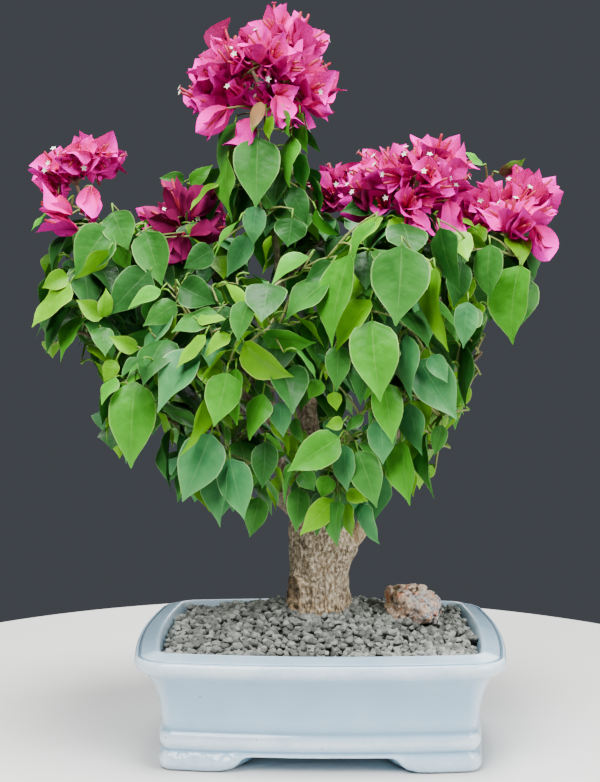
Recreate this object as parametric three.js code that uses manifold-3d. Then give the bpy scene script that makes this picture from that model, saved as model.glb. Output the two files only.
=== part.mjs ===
// Bougainvillea bonsai in a glazed oblong pot: trunk, boughs, masses of leaves and blossom,
// gravel and a stone. Millimetres, +Z up, +X to the right, -Y towards the front.
import * as THREE from 'three';
import { mergeVertices } from 'three/addons/utils/BufferGeometryUtils.js';
import Module from 'manifold-3d';

const wasm = await Module();
wasm.setup();

// Clearance between neighbouring solids
const GAP = 0.3;

// The crown leans to the left, so the pot stands right of the middle of the whole plant
const POT_PLACE = [20, -24, 0];

// Pot: outer size over the rim's corners, how far its short and long sides bow out between them,
// and its outline as [inset from the rim, height] from the feet up
const POT_WIDTH = 254;
const POT_DEPTH = 203;
const POT_HEIGHT = 82;
const RIM_CORNER = 28;
const LEAST_CORNER = 6;
const SIDE_BOW = [5, 7];
const POT_OUTLINE = [
  [20, 0], [16.7, 6], [17.6, 11], [19.5, 14.5], [17.2, 21], [19.2, 27],
  [17.6, 43], [13, 60], [6.5, 67.5], [1.6, 70.5], [0, 74], [2.2, 78], [15.5, POT_HEIGHT],
];
const CAVITY_OUTLINE = [[29, 19], [26, 24], [20.5, 74], [18, POT_HEIGHT + 1]];
const CORNER_STEPS = 3;
const SIDE_STEPS = 3;

// Feet: the clear span between them along the front and the side, and its height
const FOOT_SPAN_FRONT = 150;
const FOOT_SPAN_SIDE = 108;
const FOOT_ARCH = 11.5;
const FOOT_SCROLL = 30;
const FOOT_STEP = [0.62, 0.4];
const FOOT_EASE = 0.7;
const FOOT_CURVE_STEPS = 2;

// Gravel: level at the wall, its rise to the mound round the trunk, and the flat pad that the trunk stands on
const GRAVEL_EDGE = 77.5;
const GRAVEL_RISE = 15.6;
const MOUND_REACH = 118;
const GROUND = 92.5;
const TRUNK_PAD = 31;
const TRUNK_PAD_SIDES = 16;

// Hummocks of the gravel: cells across and deep, their size, how high they stand, and how far they keep
// from the trunk and from the pot's middle
const GRAVEL_CELLS = [9, 7];
const GRAVEL_CELL = 26;
const GRAVEL_LUMP = 2.2;
const LUMPS_FROM_TRUNK = 44;
const LUMPS_WITHIN = [94, 68];
const LUMP_STRIDE = [37, 101];

// Stone that lies on the gravel to the right of the trunk
const STONE_SIZE = [43, 36, 33];
const STONE_PLACE = [68, 16, 95];
const STONE_ROUGH = 0.16;
const STONE_SEED = 5;

// Trunk: its line from below the flat cut at the ground to the pruned top,
// and its radius along it as [part of length, radius]
const TRUNK_LINE = [
  [-1.5, 14, GROUND - 6], [-1.5, 14, 120], [-2, 14, 148], [-7, 16, 180], [-9, 18, 215], [-10, 20, 250],
];
const TRUNK_RADII = [
  [0, 27], [0.06, 25], [0.14, 22.6], [0.3, 21.8], [0.4, 20], [0.54, 13.5], [0.76, 9.2], [1, 6.8],
];
const TRUNK_SIDES = 13;
const TRUNK_STEPS = 11;
const ROOT_LOBES = 4;
const ROOT_LOBE_DEPTH = 0.09;
const ROOT_LOBE_END = 0.4;

// Boughs: each leaves its parent part of the way along, passes any bends and ends at its tip.
// "arch" lifts the middle of a bough that has no bends.
const BOUGHS = [
  { name: 'leader', from: 'trunk', at: 0.32, radii: [5.8, 2.2], to: [-35, 0, 381],
    bends: [[-25, 6, 176], [-33, 0, 227], [-40, 0, 272], [-31, 0, 332]] },
  { name: 'right_limb', from: 'trunk', at: 0.22, radii: [8.4, 2.2], to: [64, -18, 336],
    bends: [[32, 7, 145], [42, 0, 178], [50, -8, 204], [66, -14, 262]] },
  { name: 'low_left', from: 'leader', at: 0.15, radii: [4.2, 2.2], to: [-66, -32, 204],
    bends: [[-46, -13, 186]] },
  { name: 'low_centre', from: 'trunk', at: 0.5, radii: [4.4, 2.2], to: [10, -44, 196], arch: 4 },
  { name: 'back_low', from: 'trunk', at: 0.5, radii: [4.4, 2.2], to: [8, 66, 192], arch: 6 },
  { name: 'back_left', from: 'trunk', at: 0.74, radii: [4.2, 2.2], to: [-76, 68, 252], arch: 8 },
  { name: 'back_centre', from: 'trunk', at: 0.88, radii: [4, 2.2], to: [-12, 82, 262], arch: 4 },
  { name: 'left_low', from: 'leader', at: 0.28, radii: [3.8, 2.1], to: [-100, -36, 234], arch: 8 },
  { name: 'left_tip', from: 'leader', at: 0.36, radii: [3.6, 2.1], to: [-150, -26, 290], arch: 12 },
  { name: 'left_back', from: 'leader', at: 0.4, radii: [3.4, 2.1], to: [-132, 48, 292], arch: 8 },
  { name: 'left', from: 'leader', at: 0.48, radii: [3.6, 2.1], to: [-132, -8, 338], arch: 8 },
  { name: 'centre_left', from: 'leader', at: 0.54, radii: [3.2, 2.1], to: [-80, -44, 300], arch: 5 },
  { name: 'centre', from: 'leader', at: 0.6, radii: [3.2, 2.1], to: [-30, -50, 300], arch: 6 },
  { name: 'back_left_upper', from: 'leader', at: 0.66, radii: [3.2, 2.1], to: [-92, 54, 346], arch: 6 },
  { name: 'back_right_upper', from: 'leader', at: 0.74, radii: [3, 2.1], to: [-4, 56, 360], arch: 5 },
  { name: 'right_low', from: 'right_limb', at: 0.4, radii: [3.8, 2.1], to: [78, -42, 218], arch: 6 },
  { name: 'back_right', from: 'right_limb', at: 0.48, radii: [3.8, 2.1], to: [78, 62, 256], arch: 8 },
  { name: 'right_side', from: 'right_limb', at: 0.58, radii: [3.6, 2.1], to: [102, -18, 274], arch: 6 },
  { name: 'right_outer', from: 'right_limb', at: 0.7, radii: [3.6, 2.1], to: [116, -8, 334], arch: 8 },
  { name: 'right_back', from: 'right_limb', at: 0.76, radii: [3.4, 2.1], to: [106, 62, 334], arch: 8 },
  { name: 'right_front', from: 'right_limb', at: 0.82, radii: [3.2, 2.1], to: [48, -58, 318], arch: 5 },
];
const BOUGH_SIDES = 5;
const BOUGH_STEP = 28;
const BOUGH_LEAST_STEPS = 3;
const BOUGH_TAPER = 0.65;

// How far the crown reaches to the left and right of the pot's middle
const CROWN_SIDES = [-208, 174];

// Masses: each has one bough and one space, an ellipsoid of leafy shoots, and may carry a bloom.
// "large" places single leaves that stand out, as [base x, y, z, length, lean of the tip along x].
const MASSES = [
  { bough: 'leader', seed: 11, centre: [-38, -4, 404], half: [34, 32, 30], shoots: 5,
    bloom: { centre: [-40, -5, 482], half: [54, 50, 46], bunches: 5 },
    large: [[-45, -28, 436, 52, -0.02]] },
  { bough: 'left', seed: 12, centre: [-160, -12, 356], half: [42, 38, 30], shoots: 5,
    bloom: { centre: [-174, -10, 410], half: [28, 30, 26], bunches: 2 },
    large: [[-152, -36, 366, 44, -0.5]] },
  { bough: 'left_tip', seed: 13, centre: [-178, -28, 300], half: [34, 34, 34], shoots: 5 },
  { bough: 'left_back', seed: 14, centre: [-152, 70, 300], half: [44, 42, 44], shoots: 5 },
  { bough: 'left_low', seed: 15, centre: [-118, -48, 244], half: [36, 34, 34], shoots: 5,
    large: [[-142, -52, 258, 58, 0.1]] },
  { bough: 'centre_left', seed: 16, centre: [-92, -66, 310], half: [46, 40, 42], shoots: 7 },
  { bough: 'low_left', seed: 17, centre: [-70, -58, 216], half: [38, 36, 36], shoots: 5,
    large: [[-76, -84, 226, 48, -0.35]] },
  { bough: 'centre', seed: 18, centre: [-28, -84, 300], half: [34, 32, 44], shoots: 7 },
  { bough: 'low_centre', seed: 19, centre: [14, -62, 202], half: [40, 30, 36], shoots: 6,
    large: [[22, -84, 216, 42, -0.8]] },
  { bough: 'right_front', seed: 20, centre: [42, -84, 314], half: [34, 34, 42], shoots: 6,
    large: [[53, -112, 355, 53, -0.04], [34, -114, 306, 52, 0]] },
  { bough: 'right_limb', seed: 21, centre: [62, -24, 362], half: [40, 38, 22], shoots: 5,
    bloom: { centre: [61, -25, 400], half: [50, 44, 35], bunches: 4 } },
  { bough: 'right_outer', seed: 22, centre: [124, -12, 346], half: [38, 40, 26], shoots: 5,
    bloom: { centre: [134, -10, 382], half: [40, 38, 32], bunches: 3 },
    large: [[144, -30, 344, 54, -0.12]] },
  { bough: 'right_side', seed: 23, centre: [116, -34, 286], half: [36, 42, 36], shoots: 5 },
  { bough: 'right_low', seed: 24, centre: [80, -62, 232], half: [32, 34, 42], shoots: 6,
    large: [[58, -92, 220, 44, 0.12]] },
  { bough: 'right_back', seed: 45, centre: [116, 78, 338], half: [40, 40, 34], shoots: 4,
    bloom: { centre: [118, 80, 378], half: [36, 34, 28], bunches: 2 } },
  { bough: 'back_left_upper', seed: 26, centre: [-102, 68, 360], half: [42, 40, 26], shoots: 5,
    bloom: { centre: [-106, 60, 380], half: [38, 34, 28], bunches: 2 } },
  { bough: 'back_right_upper', seed: 27, centre: [2, 78, 366], half: [44, 40, 26], shoots: 5,
    bloom: { centre: [0, 66, 400], half: [32, 32, 28], bunches: 2 } },
  { bough: 'back_left', seed: 28, centre: [-88, 100, 266], half: [44, 44, 44], shoots: 5 },
  { bough: 'back_centre', seed: 29, centre: [-8, 112, 282], half: [38, 38, 44], shoots: 5 },
  { bough: 'back_right', seed: 30, centre: [86, 92, 264], half: [44, 42, 42], shoots: 5 },
  { bough: 'back_low', seed: 31, centre: [10, 88, 202], half: [46, 32, 30], shoots: 5 },
];

// Shoots: points tried for each one, and how far out in the space they may stand
const SHOOT_TRIES = 12;
const SHOOT_INNER = 0.35;

// A mass's stem: it goes on straight from its bough to the knee, then towards the centre of the space
// up to the heart, and on into the bloom; shoots leave it at its joints
const STEM_RADIUS = [2.1, 2.6];
const STEM_SIDES = 3;
const STEM_STEPS = 3;
const STEM_BLOOM_STEPS = 5;
const STEM_KNEE = 6;
const STEM_HEART = 0.75;
const STEM_JOINTS = [0.45, 0.6, 0.75, 0.9];

// Twigs: six-faced spindles, each set into what it grows from and tried for room beyond its root
const TWIG_RADIUS = 1.9;
const TWIG_SIDES = 3;
const TWIG_THICK_AT = 0.25;
const TWIG_SUNK = 1;
const TWIG_PROBE = 6;
const TWIG_PROBE_THICK_AT = 0.1;

// Leaves: ovate, folded along the midrib, hanging tip down.
// A shoot has one at its end and others on alternate sides, as [part of the shoot, side].
const LEAF_STATIONS = [[0.82, 0], [0.67, 1], [0.53, -1], [0.39, 0.6]];
const LEAF_LENGTH = [40, 54];
const LEAF_WIDTH = 0.8;
const LEAF_WIDEST = 0.42;
const LEAF_FOLD = 0.12;
const LEAF_THICK = 0.035;
const LEAF_FAN = 1.35;
const LEAF_DROOP = [0.4, 1.1];
const LEAF_SUNK = 0.7;
const LEAF_PROBE = 4;
const LEAF_REACH = 34;
const LEAF_TRIES = 12;
const LEAF_SHRINK = 0.03;
const LEAF_SWING = [0.5, 0.4];
const LARGE_LEAF_SPUR = 9;
const LARGE_LEAF_TILT = 0.18;
const LARGE_LEAF_ROOM = 2;

// Florets: three papery bracts in a cup. A bloom is a dome of bunches of them.
const FLORETS_PER_BUNCH = 4;
const FLORET_MOUTH = 16;
const FLORET_NOTCH = [0.6, 0.72];
const FLORET_FLOOR = 0.3;
const FLORET_SUNK = 0.8;
const BUNCH_DEPTH = 0.4;
const BUNCH_RADIUS = 3;
const BUNCH_THICK_AT = 0.8;
const BUNCH_BEYOND = 0.2;
const HUB_DEPTH = -0.45;
const BLOOM_SPREAD = 1.95;
const GOLDEN_ANGLE = Math.PI * (3 - Math.sqrt(5));

// Smallest steps kept when corners are joined and when twigs and leaves are fused
const JOIN_TOLERANCE = 1e-3;
const FUSE_TOLERANCE = 0.03;

// Room kept round each twig, leaf and floret, and the shared volume that counts as touching
const CLEAR = 0.4;
const TOUCH_VOLUME = 1e-6;

const COLOURS = {
  glaze: [0xb7c7d2, 0.18],
  gravel: [0x878985, 0.9],
  stone: [0xa98e7e, 0.85],
  bark: [0x988b78, 0.9],
  leaf: [0x6aa053, 0.5],
  bract: [0xd64b81, 0.6],
};

const UP = new THREE.Vector3(0, 0, 1);
const vector = (numbers) => new THREE.Vector3(...numbers);
const mix = (range, part) => range[0] + (range[1] - range[0]) * part;

// A stream of numbers from 0 to 1 that is the same for the same seed
function seeded(seed) {
  let state = seed * 7919;
  return () => {
    state = (Math.imul(state, 1664525) + 1013904223) >>> 0;
    return state / 4294967296;
  };
}

// A solid from a closed geometry, with its faces pointing out
function solidOf(geometry) {
  geometry.deleteAttribute('normal');
  geometry.deleteAttribute('uv');
  const merged = mergeVertices(geometry, JOIN_TOLERANCE);
  const index = merged.index.array;
  const place = merged.attributes.position;
  const corner = [0, 1, 2].map(() => new THREE.Vector3());
  const triangles = [];
  let volume = 0;
  for (let i = 0; i < index.length; i += 3) {
    const [a, b, c] = index.slice(i, i + 3);
    if (a === b || b === c || c === a) continue;
    triangles.push([a, b, c]);
    [a, b, c].forEach((vertex, k) => corner[k].fromBufferAttribute(place, vertex));
    volume += corner[0].dot(corner[1].cross(corner[2]));
  }
  const facing = volume < 0 ? triangles.map(([a, b, c]) => [a, c, b]) : triangles;
  return new wasm.Manifold(new wasm.Mesh({
    numProp: 3,
    vertProperties: new Float32Array(place.array),
    triVerts: new Uint32Array(facing.flat()),
  }));
}

// The largest body of a solid: loose scraps and sealed hollows are dropped
function largestBody(solid) {
  const bodies = solid.decompose();
  return bodies.reduce((best, body) => (body.volume() > best.volume() ? body : best));
}

function meshOf(name, solid, colour) {
  const { vertProperties, triVerts } = solid.getMesh();
  const geometry = new THREE.BufferGeometry();
  geometry.setAttribute('position', new THREE.BufferAttribute(vertProperties, 3));
  geometry.setIndex(new THREE.BufferAttribute(triVerts, 1));
  geometry.computeVertexNormals();
  const [color, roughness] = COLOURS[colour];
  const mesh = new THREE.Mesh(geometry, new THREE.MeshStandardMaterial({ color, roughness, metalness: 0 }));
  mesh.name = name;
  return mesh;
}

// A lathe of [inset, height] points, squared to the pot's bowed oblong and closed at its floor and top
function squaredLathe(outline) {
  const sides = 4 * (CORNER_STEPS + SIDE_STEPS);
  const rows = [[null, outline[0][1]], ...outline, [null, outline[outline.length - 1][1]]];
  const points = rows.map(([inset, z]) => new THREE.Vector2(inset === null ? 0 : 1, z));
  const geometry = new THREE.LatheGeometry(points, sides);
  const place = geometry.attributes.position;
  for (let i = 0; i < place.count; i++) {
    const [inset, z] = rows[i % rows.length];
    const [x, y] = inset === null ? [0, 0] : oblongPoint(Math.floor(i / rows.length) % sides, inset);
    place.setXYZ(i, x, y, z);
  }
  return solidOf(geometry);
}

// Point number "step" round the rim's oblong, moved in by "inset": each rounded corner, then its bowed side
function oblongPoint(step, inset) {
  const perQuarter = CORNER_STEPS + SIDE_STEPS;
  const quarter = Math.floor(step / perQuarter) % 4;
  const along = step % perQuarter;
  if (along > CORNER_STEPS) {
    const part = (along - CORNER_STEPS) / SIDE_STEPS;
    const [x0, y0] = oblongPoint(quarter * perQuarter + CORNER_STEPS, inset);
    const [x1, y1] = oblongPoint((quarter + 1) * perQuarter, inset);
    const bow = 4 * part * (1 - part) * SIDE_BOW[(quarter + 1) % 2];
    const facing = (quarter + 1) * Math.PI / 2;
    return [mix([x0, x1], part) + bow * Math.cos(facing), mix([y0, y1], part) + bow * Math.sin(facing)];
  }
  const signX = quarter === 0 || quarter === 3 ? 1 : -1;
  const signY = quarter < 2 ? 1 : -1;
  const angle = (quarter + along / CORNER_STEPS) * Math.PI / 2;
  const shrink = Math.min(inset, RIM_CORNER - LEAST_CORNER);
  const extra = inset - shrink;
  const radius = RIM_CORNER - shrink;
  const x = signX * (POT_WIDTH / 2 - RIM_CORNER - extra) + radius * Math.cos(angle);
  const y = signY * (POT_DEPTH / 2 - RIM_CORNER - extra) + radius * Math.sin(angle);
  return [x, y];
}

// Height of the gravel: level along the wall, mounded round the trunk
function gravelLevel(x, y) {
  const [trunkX, trunkY] = TRUNK_LINE[0];
  const far = Math.min(Math.hypot(x - trunkX, y - trunkY) / MOUND_REACH, 1);
  return GRAVEL_EDGE + GRAVEL_RISE * (1 - far * far * (3 - 2 * far));
}

// How far a corner of the gravel's cells stands above or below that level
function gravelLump(x, y) {
  const [trunkX, trunkY] = TRUNK_LINE[0];
  const nearTrunk = Math.hypot(x - trunkX, y - trunkY) < LUMPS_FROM_TRUNK;
  const nearWall = Math.abs(x) > LUMPS_WITHIN[0] || Math.abs(y) > LUMPS_WITHIN[1];
  if (nearTrunk || nearWall) return 0;
  const [strideX, strideY] = LUMP_STRIDE;
  const [column, row] = [x, y].map((along) => Math.round(2 * along / GRAVEL_CELL));
  const random = seeded(column * strideX + row * strideY);
  return GRAVEL_LUMP * (2 * random() - 1);
}

// The gap between two feet, run through the pot's foot: straight in the middle, scrolled at its ends
function footGap(span, length) {
  const half = span / 2;
  const step = FOOT_SCROLL * FOOT_STEP[0];
  const stepHeight = FOOT_ARCH * FOOT_STEP[1];
  const shape = new THREE.Shape();
  shape.moveTo(-half, -1);
  shape.lineTo(-half, 0);
  shape.quadraticCurveTo(step * FOOT_EASE - half, 0, step - half, stepHeight);
  shape.quadraticCurveTo(step - half + 1, FOOT_ARCH, FOOT_SCROLL - half, FOOT_ARCH);
  shape.lineTo(half - FOOT_SCROLL, FOOT_ARCH);
  shape.quadraticCurveTo(half - step - 1, FOOT_ARCH, half - step, stepHeight);
  shape.quadraticCurveTo(half - step * FOOT_EASE, 0, half, 0);
  shape.lineTo(half, -1);
  const extrusion = { depth: length, bevelEnabled: false, curveSegments: FOOT_CURVE_STEPS };
  const geometry = new THREE.ExtrudeGeometry(shape, extrusion);
  geometry.translate(0, 0, -length / 2);
  geometry.rotateX(Math.PI / 2);
  return geometry;
}

function makePot() {
  const gapFront = solidOf(footGap(FOOT_SPAN_FRONT, POT_DEPTH));
  const gapSide = solidOf(footGap(FOOT_SPAN_SIDE, POT_WIDTH).rotateZ(Math.PI / 2));
  const wall = squaredLathe(POT_OUTLINE).subtract(squaredLathe(CAVITY_OUTLINE));
  return wall.subtract(gapFront).subtract(gapSide);
}

// A block whose top is the gravel's hummocks, wider than the pot's inside
function gravelBlock() {
  const [across, deep] = GRAVEL_CELLS;
  const geometry = new THREE.BoxGeometry(across * GRAVEL_CELL, deep * GRAVEL_CELL, 1, across, deep, 1);
  const place = geometry.attributes.position;
  for (let i = 0; i < place.count; i++) {
    const [x, y] = [place.getX(i), place.getY(i)];
    place.setZ(i, place.getZ(i) > 0 ? gravelLevel(x, y) + gravelLump(x, y) : 0);
  }
  return solidOf(geometry);
}

function makeSoil() {
  const wall = CAVITY_OUTLINE.map(([inset, z]) => [inset + GAP, z]);
  wall[0][1] += GAP;
  wall[wall.length - 1][1] += GRAVEL_RISE;
  const bed = squaredLathe(wall).intersect(gravelBlock());
  const [trunkX, trunkY] = TRUNK_LINE[0];
  const pad = new THREE.CylinderGeometry(TRUNK_PAD, TRUNK_PAD, GRAVEL_RISE, TRUNK_PAD_SIDES);
  pad.rotateX(Math.PI / 2).translate(trunkX, trunkY, GROUND - GAP + GRAVEL_RISE / 2);
  return bed.subtract(solidOf(pad));
}

function makeStone(soil) {
  const random = seeded(STONE_SEED);
  const geometry = new THREE.IcosahedronGeometry(0.5, 1);
  const rough = mergeVertices(geometry.deleteAttribute('normal').deleteAttribute('uv'), JOIN_TOLERANCE);
  const place = rough.attributes.position;
  for (let i = 0; i < place.count; i++) {
    const bulge = 1 + STONE_ROUGH * (2 * random() - 1);
    place.setXYZ(i, place.getX(i) * bulge, place.getY(i) * bulge, place.getZ(i) * bulge);
  }
  rough.scale(...STONE_SIZE).translate(...STONE_PLACE);
  return largestBody(solidOf(rough).subtract(soil.translate(0, 0, GAP)));
}

// A tube along a curve, its radius given by the part of the length and the angle round it
function tube(curve, radiusAt, sides, steps) {
  const geometry = new THREE.CylinderGeometry(1, 1, 1, sides, steps);
  const { normals, binormals } = curve.computeFrenetFrames(steps);
  const place = geometry.attributes.position;
  for (let i = 0; i < place.count; i++) {
    const [x, z] = [place.getX(i), place.getZ(i)];
    const row = Math.round((place.getY(i) + 0.5) * steps);
    const radius = radiusAt(row / steps, Math.atan2(z, x));
    const point = curve.getPointAt(row / steps);
    point.addScaledVector(normals[row], x * radius).addScaledVector(binormals[row], z * radius);
    place.setXYZ(i, point.x, point.y, point.z);
  }
  return solidOf(geometry);
}

const curveThrough = (points) => new THREE.CatmullRomCurve3(points.map(vector), false, 'centripetal');

function trunkRadius(part, angle) {
  const next = TRUNK_RADII.findIndex(([at]) => at >= part);
  const [at1, radius1] = TRUNK_RADII[next];
  const [at0, radius0] = TRUNK_RADII[Math.max(next - 1, 0)];
  const radius = mix([radius0, radius1], at1 > at0 ? (part - at0) / (at1 - at0) : 0);
  const lobes = ROOT_LOBE_DEPTH * Math.max(0, 1 - part / ROOT_LOBE_END) * Math.cos(ROOT_LOBES * angle);
  return radius * (1 + lobes);
}

function makeTrunk() {
  const { curve } = limbs.trunk;
  const below = new THREE.BoxGeometry(POT_WIDTH, POT_DEPTH, GROUND).translate(0, 0, GROUND / 2);
  const radius = (extra) => (part, angle) => trunkRadius(part, angle) + extra;
  const whole = (extra) => tube(curve, radius(extra), TRUNK_SIDES, TRUNK_STEPS);
  limbs.trunk.wide = whole(GAP);
  return whole(0).subtract(solidOf(below));
}

// The line of a bough: from inside its parent, over its arch or bends, to its tip
function boughCurve({ from, at, to, bends, arch }) {
  const start = limbs[from].curve.getPointAt(at);
  const middle = start.clone().lerp(vector(to), 0.5).addScaledVector(UP, arch ?? 0);
  const between = bends ?? [middle.toArray()];
  return curveThrough([start.toArray(), ...between, to]);
}

function makeBough(bough) {
  const curve = boughCurve(bough);
  const steps = Math.max(BOUGH_LEAST_STEPS, Math.round(curve.getLength() / BOUGH_STEP));
  const radius = (part) => mix(bough.radii, part ** BOUGH_TAPER);
  const whole = (extra) => tube(curve, (part) => radius(part) + extra, BOUGH_SIDES, steps);
  const others = Object.values(limbs).map((limb) => limb.wide);
  limbs[bough.name] = { curve, wide: whole(GAP) };
  return largestBody(whole(0).subtract(wasm.Manifold.union(others)));
}

// A three-sided twig of six faces: a spindle from inside its parent to its tip, widest "thickAt" of the way
function twigSolid(start, end, radius, thickAt) {
  const along = end.clone().sub(start).normalize();
  const root = start.clone().addScaledVector(along, -TWIG_SUNK);
  const length = root.distanceTo(end);
  const outline = [[0, 0], [radius, length * thickAt], [0, length]].map(([x, y]) => new THREE.Vector2(x, y));
  const geometry = new THREE.LatheGeometry(outline, TWIG_SIDES);
  geometry.applyQuaternion(new THREE.Quaternion().setFromUnitVectors(new THREE.Vector3(0, 1, 0), along));
  geometry.translate(root.x, root.y, root.z);
  return solidOf(geometry);
}

// An eight-faced leaf: base, tip, two raised sides, and the midrib above and below
function leafSolid(base, axis, face, length, width, thick, sunk) {
  const side = axis.clone().cross(face).normalize();
  const geometry = new THREE.OctahedronGeometry(1, 0);
  const place = geometry.attributes.position;
  for (let i = 0; i < place.count; i++) {
    const [x, y, z] = [place.getX(i), place.getY(i), place.getZ(i)].map(Math.round);
    const along = [-sunk, length * LEAF_WIDEST, length][y + 1];
    const point = base.clone().addScaledVector(axis, along).addScaledVector(side, x * width / 2);
    point.addScaledVector(face, z * thick / 2 + Math.abs(x) * LEAF_FOLD * width);
    place.setXYZ(i, point.x, point.y, point.z);
  }
  return solidOf(geometry);
}

// A twelve-faced floret: a six-sided cone whose rim rises to three tips between three notches
function floretSolid(base, axis, length, mouth, turn) {
  const side = new THREE.Vector3(axis.y, -axis.x, 0.2).cross(axis).normalize();
  const other = axis.clone().cross(side);
  const geometry = new THREE.ConeGeometry(1, 1, 6, 1);
  const place = geometry.attributes.position;
  for (let i = 0; i < place.count; i++) {
    const [x, y, z] = [place.getX(i), place.getY(i), place.getZ(i)];
    const around = Math.round(Math.atan2(z, x) * 3 / Math.PI - 0.5);
    const [wide, high] = Math.abs(around) % 2 === 0 ? [1, 1] : FLORET_NOTCH;
    const onRim = Math.hypot(x, z) > 0.5;
    const floor = y > 0 ? 0 : FLORET_FLOOR;
    const angle = Math.atan2(z, x) + turn;
    const point = base.clone().addScaledVector(axis, length * (onRim ? high : floor));
    if (onRim) {
      point.addScaledVector(side, mouth * wide * Math.cos(angle));
      point.addScaledVector(other, mouth * wide * Math.sin(angle));
    }
    place.setXYZ(i, point.x, point.y, point.z);
  }
  return solidOf(geometry);
}

// Everything that stands already, with its box and owner, so that a new piece can be tried against it
const standing = [];

function boxesMeet(a, b) {
  return [0, 1, 2].every((k) => a.min[k] < b.max[k] && b.min[k] < a.max[k]);
}

function stand(solid, owner) {
  standing.push({ solid, owner, box: solid.boundingBox() });
}

function misses(piece, others) {
  const box = piece.boundingBox();
  const near = others.filter((other) => boxesMeet(box, other.box));
  return near.every((other) => piece.intersect(other.solid).volume() < TOUCH_VOLUME);
}

const missesNeighbours = (piece, owner) => misses(piece, standing.filter((other) => other.owner !== owner));
const missesOwn = (piece, owner) => misses(piece, standing.filter((other) => other.owner === owner));

// True where the whole piece misses its neighbours, and its part beyond the root misses its own mass
function isClear(whole, beyondRoot, owner) {
  return missesOwn(beyondRoot, owner) && missesNeighbours(whole, owner);
}

function addPiece(piece, mass) {
  mass.pieces.push(piece);
  stand(piece, mass.bough);
}

// Points spread through an ellipsoid, each the best of several tries at standing clear of the others
function spreadPoints(random, count, centre, half) {
  const points = [];
  for (let i = 0; i < count; i++) {
    let best = null;
    let bestRoom = -1;
    for (let k = 0; k < SHOOT_TRIES; k++) {
      const turn = 2 * Math.PI * random();
      const rise = 2 * random() - 1;
      const out = mix([SHOOT_INNER, 1], Math.sqrt(random()));
      const flat = Math.sqrt(1 - rise * rise);
      const outward = new THREE.Vector3(flat * Math.cos(turn), flat * Math.sin(turn), rise);
      const point = outward.multiplyScalar(out).multiply(vector(half)).add(vector(centre));
      const room = points.reduce((least, other) => Math.min(least, other.distanceTo(point)), Infinity);
      if (room > bestRoom) {
        best = point;
        bestRoom = room;
      }
    }
    points.push(best);
  }
  return points;
}

// True where a point keeps to the crown's width and to the mass's own space, with a leaf's reach round it
function inSpace(point, { centre, half }) {
  if (point.x < CROWN_SIDES[0] || point.x > CROWN_SIDES[1]) return false;
  const [x, y, z] = point.clone().sub(vector(centre)).toArray().map((d, k) => d / (half[k] + LEAF_REACH));
  return x * x + y * y + z * z < 1;
}

// Hangs a leaf on a twig, unless it would leave its space or touch something
function hangLeaf(mass, base, axis, face, length) {
  const width = length * LEAF_WIDTH;
  const thick = length * LEAF_THICK;
  const room = thick + 2 * CLEAR;
  if (!inSpace(base.clone().addScaledVector(axis, length), mass)) return false;
  const whole = leafSolid(base, axis, face, length + CLEAR, width + CLEAR, room, LEAF_SUNK);
  const probeBase = base.clone().addScaledVector(axis, LEAF_PROBE);
  const beyondRoot = leafSolid(probeBase, axis, face, length - LEAF_PROBE + CLEAR, width, room, 0);
  if (!isClear(whole, beyondRoot, mass.bough)) return false;
  addPiece(leafSolid(base, axis, face, length, width, thick, LEAF_SUNK), mass);
  return true;
}

// Tries a few ways of hanging a leaf round a heading, tip down, until one stands clear
function tryLeaf(mass, base, heading) {
  const fullLength = mix(LEAF_LENGTH, mass.random());
  for (let attempt = 0; attempt < LEAF_TRIES; attempt++) {
    const length = fullLength * (1 - LEAF_SHRINK * attempt);
    const turn = heading + (mass.random() - 0.5) * (LEAF_SWING[0] + LEAF_SWING[1] * attempt);
    const droop = mix(LEAF_DROOP, mass.random());
    const flat = new THREE.Vector3(Math.cos(turn), Math.sin(turn), 0);
    const axis = flat.clone().multiplyScalar(Math.cos(droop)).addScaledVector(UP, -Math.sin(droop));
    const face = flat.clone().multiplyScalar(Math.sin(droop)).addScaledVector(UP, Math.cos(droop));
    if (hangLeaf(mass, base, axis, face, length)) return;
  }
}

function nearestOf(points, point) {
  return points.reduce((best, other) => (other.distanceTo(point) < best.distanceTo(point) ? other : best));
}

// Adds a twig from a joint to a tip, unless something is in its way
function growTwig(mass, from, tip) {
  const along = tip.clone().sub(from).normalize();
  const whole = twigSolid(from, tip, TWIG_RADIUS + CLEAR, TWIG_THICK_AT);
  const probeFrom = from.clone().addScaledVector(along, TWIG_PROBE);
  const beyondRoot = twigSolid(probeFrom, tip, TWIG_RADIUS + CLEAR, TWIG_PROBE_THICK_AT);
  if (!isClear(whole, beyondRoot, mass.bough)) return false;
  addPiece(twigSolid(from, tip, TWIG_RADIUS, TWIG_THICK_AT), mass);
  mass.joints.push(from.clone().lerp(tip, TWIG_THICK_AT));
  return true;
}

// Large leaves that the mass is known by, each near the end of a twig of its own
function growLargeLeaves(mass) {
  const roomy = { ...mass, half: mass.half.map((size) => LARGE_LEAF_ROOM * size) };
  for (const [x, y, z, length, lean] of mass.large ?? []) {
    const base = new THREE.Vector3(x, y, z);
    const axis = new THREE.Vector3(lean, -LARGE_LEAF_TILT, -1).normalize();
    const face = new THREE.Vector3(0, -1, LARGE_LEAF_TILT).projectOnPlane(axis).normalize();
    const from = nearestOf(mass.joints, base);
    const tip = base.clone().addScaledVector(base.clone().sub(from).normalize(), LARGE_LEAF_SPUR);
    if (growTwig(mass, from, tip)) hangLeaf(roomy, base, axis, face, length);
  }
}

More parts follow.
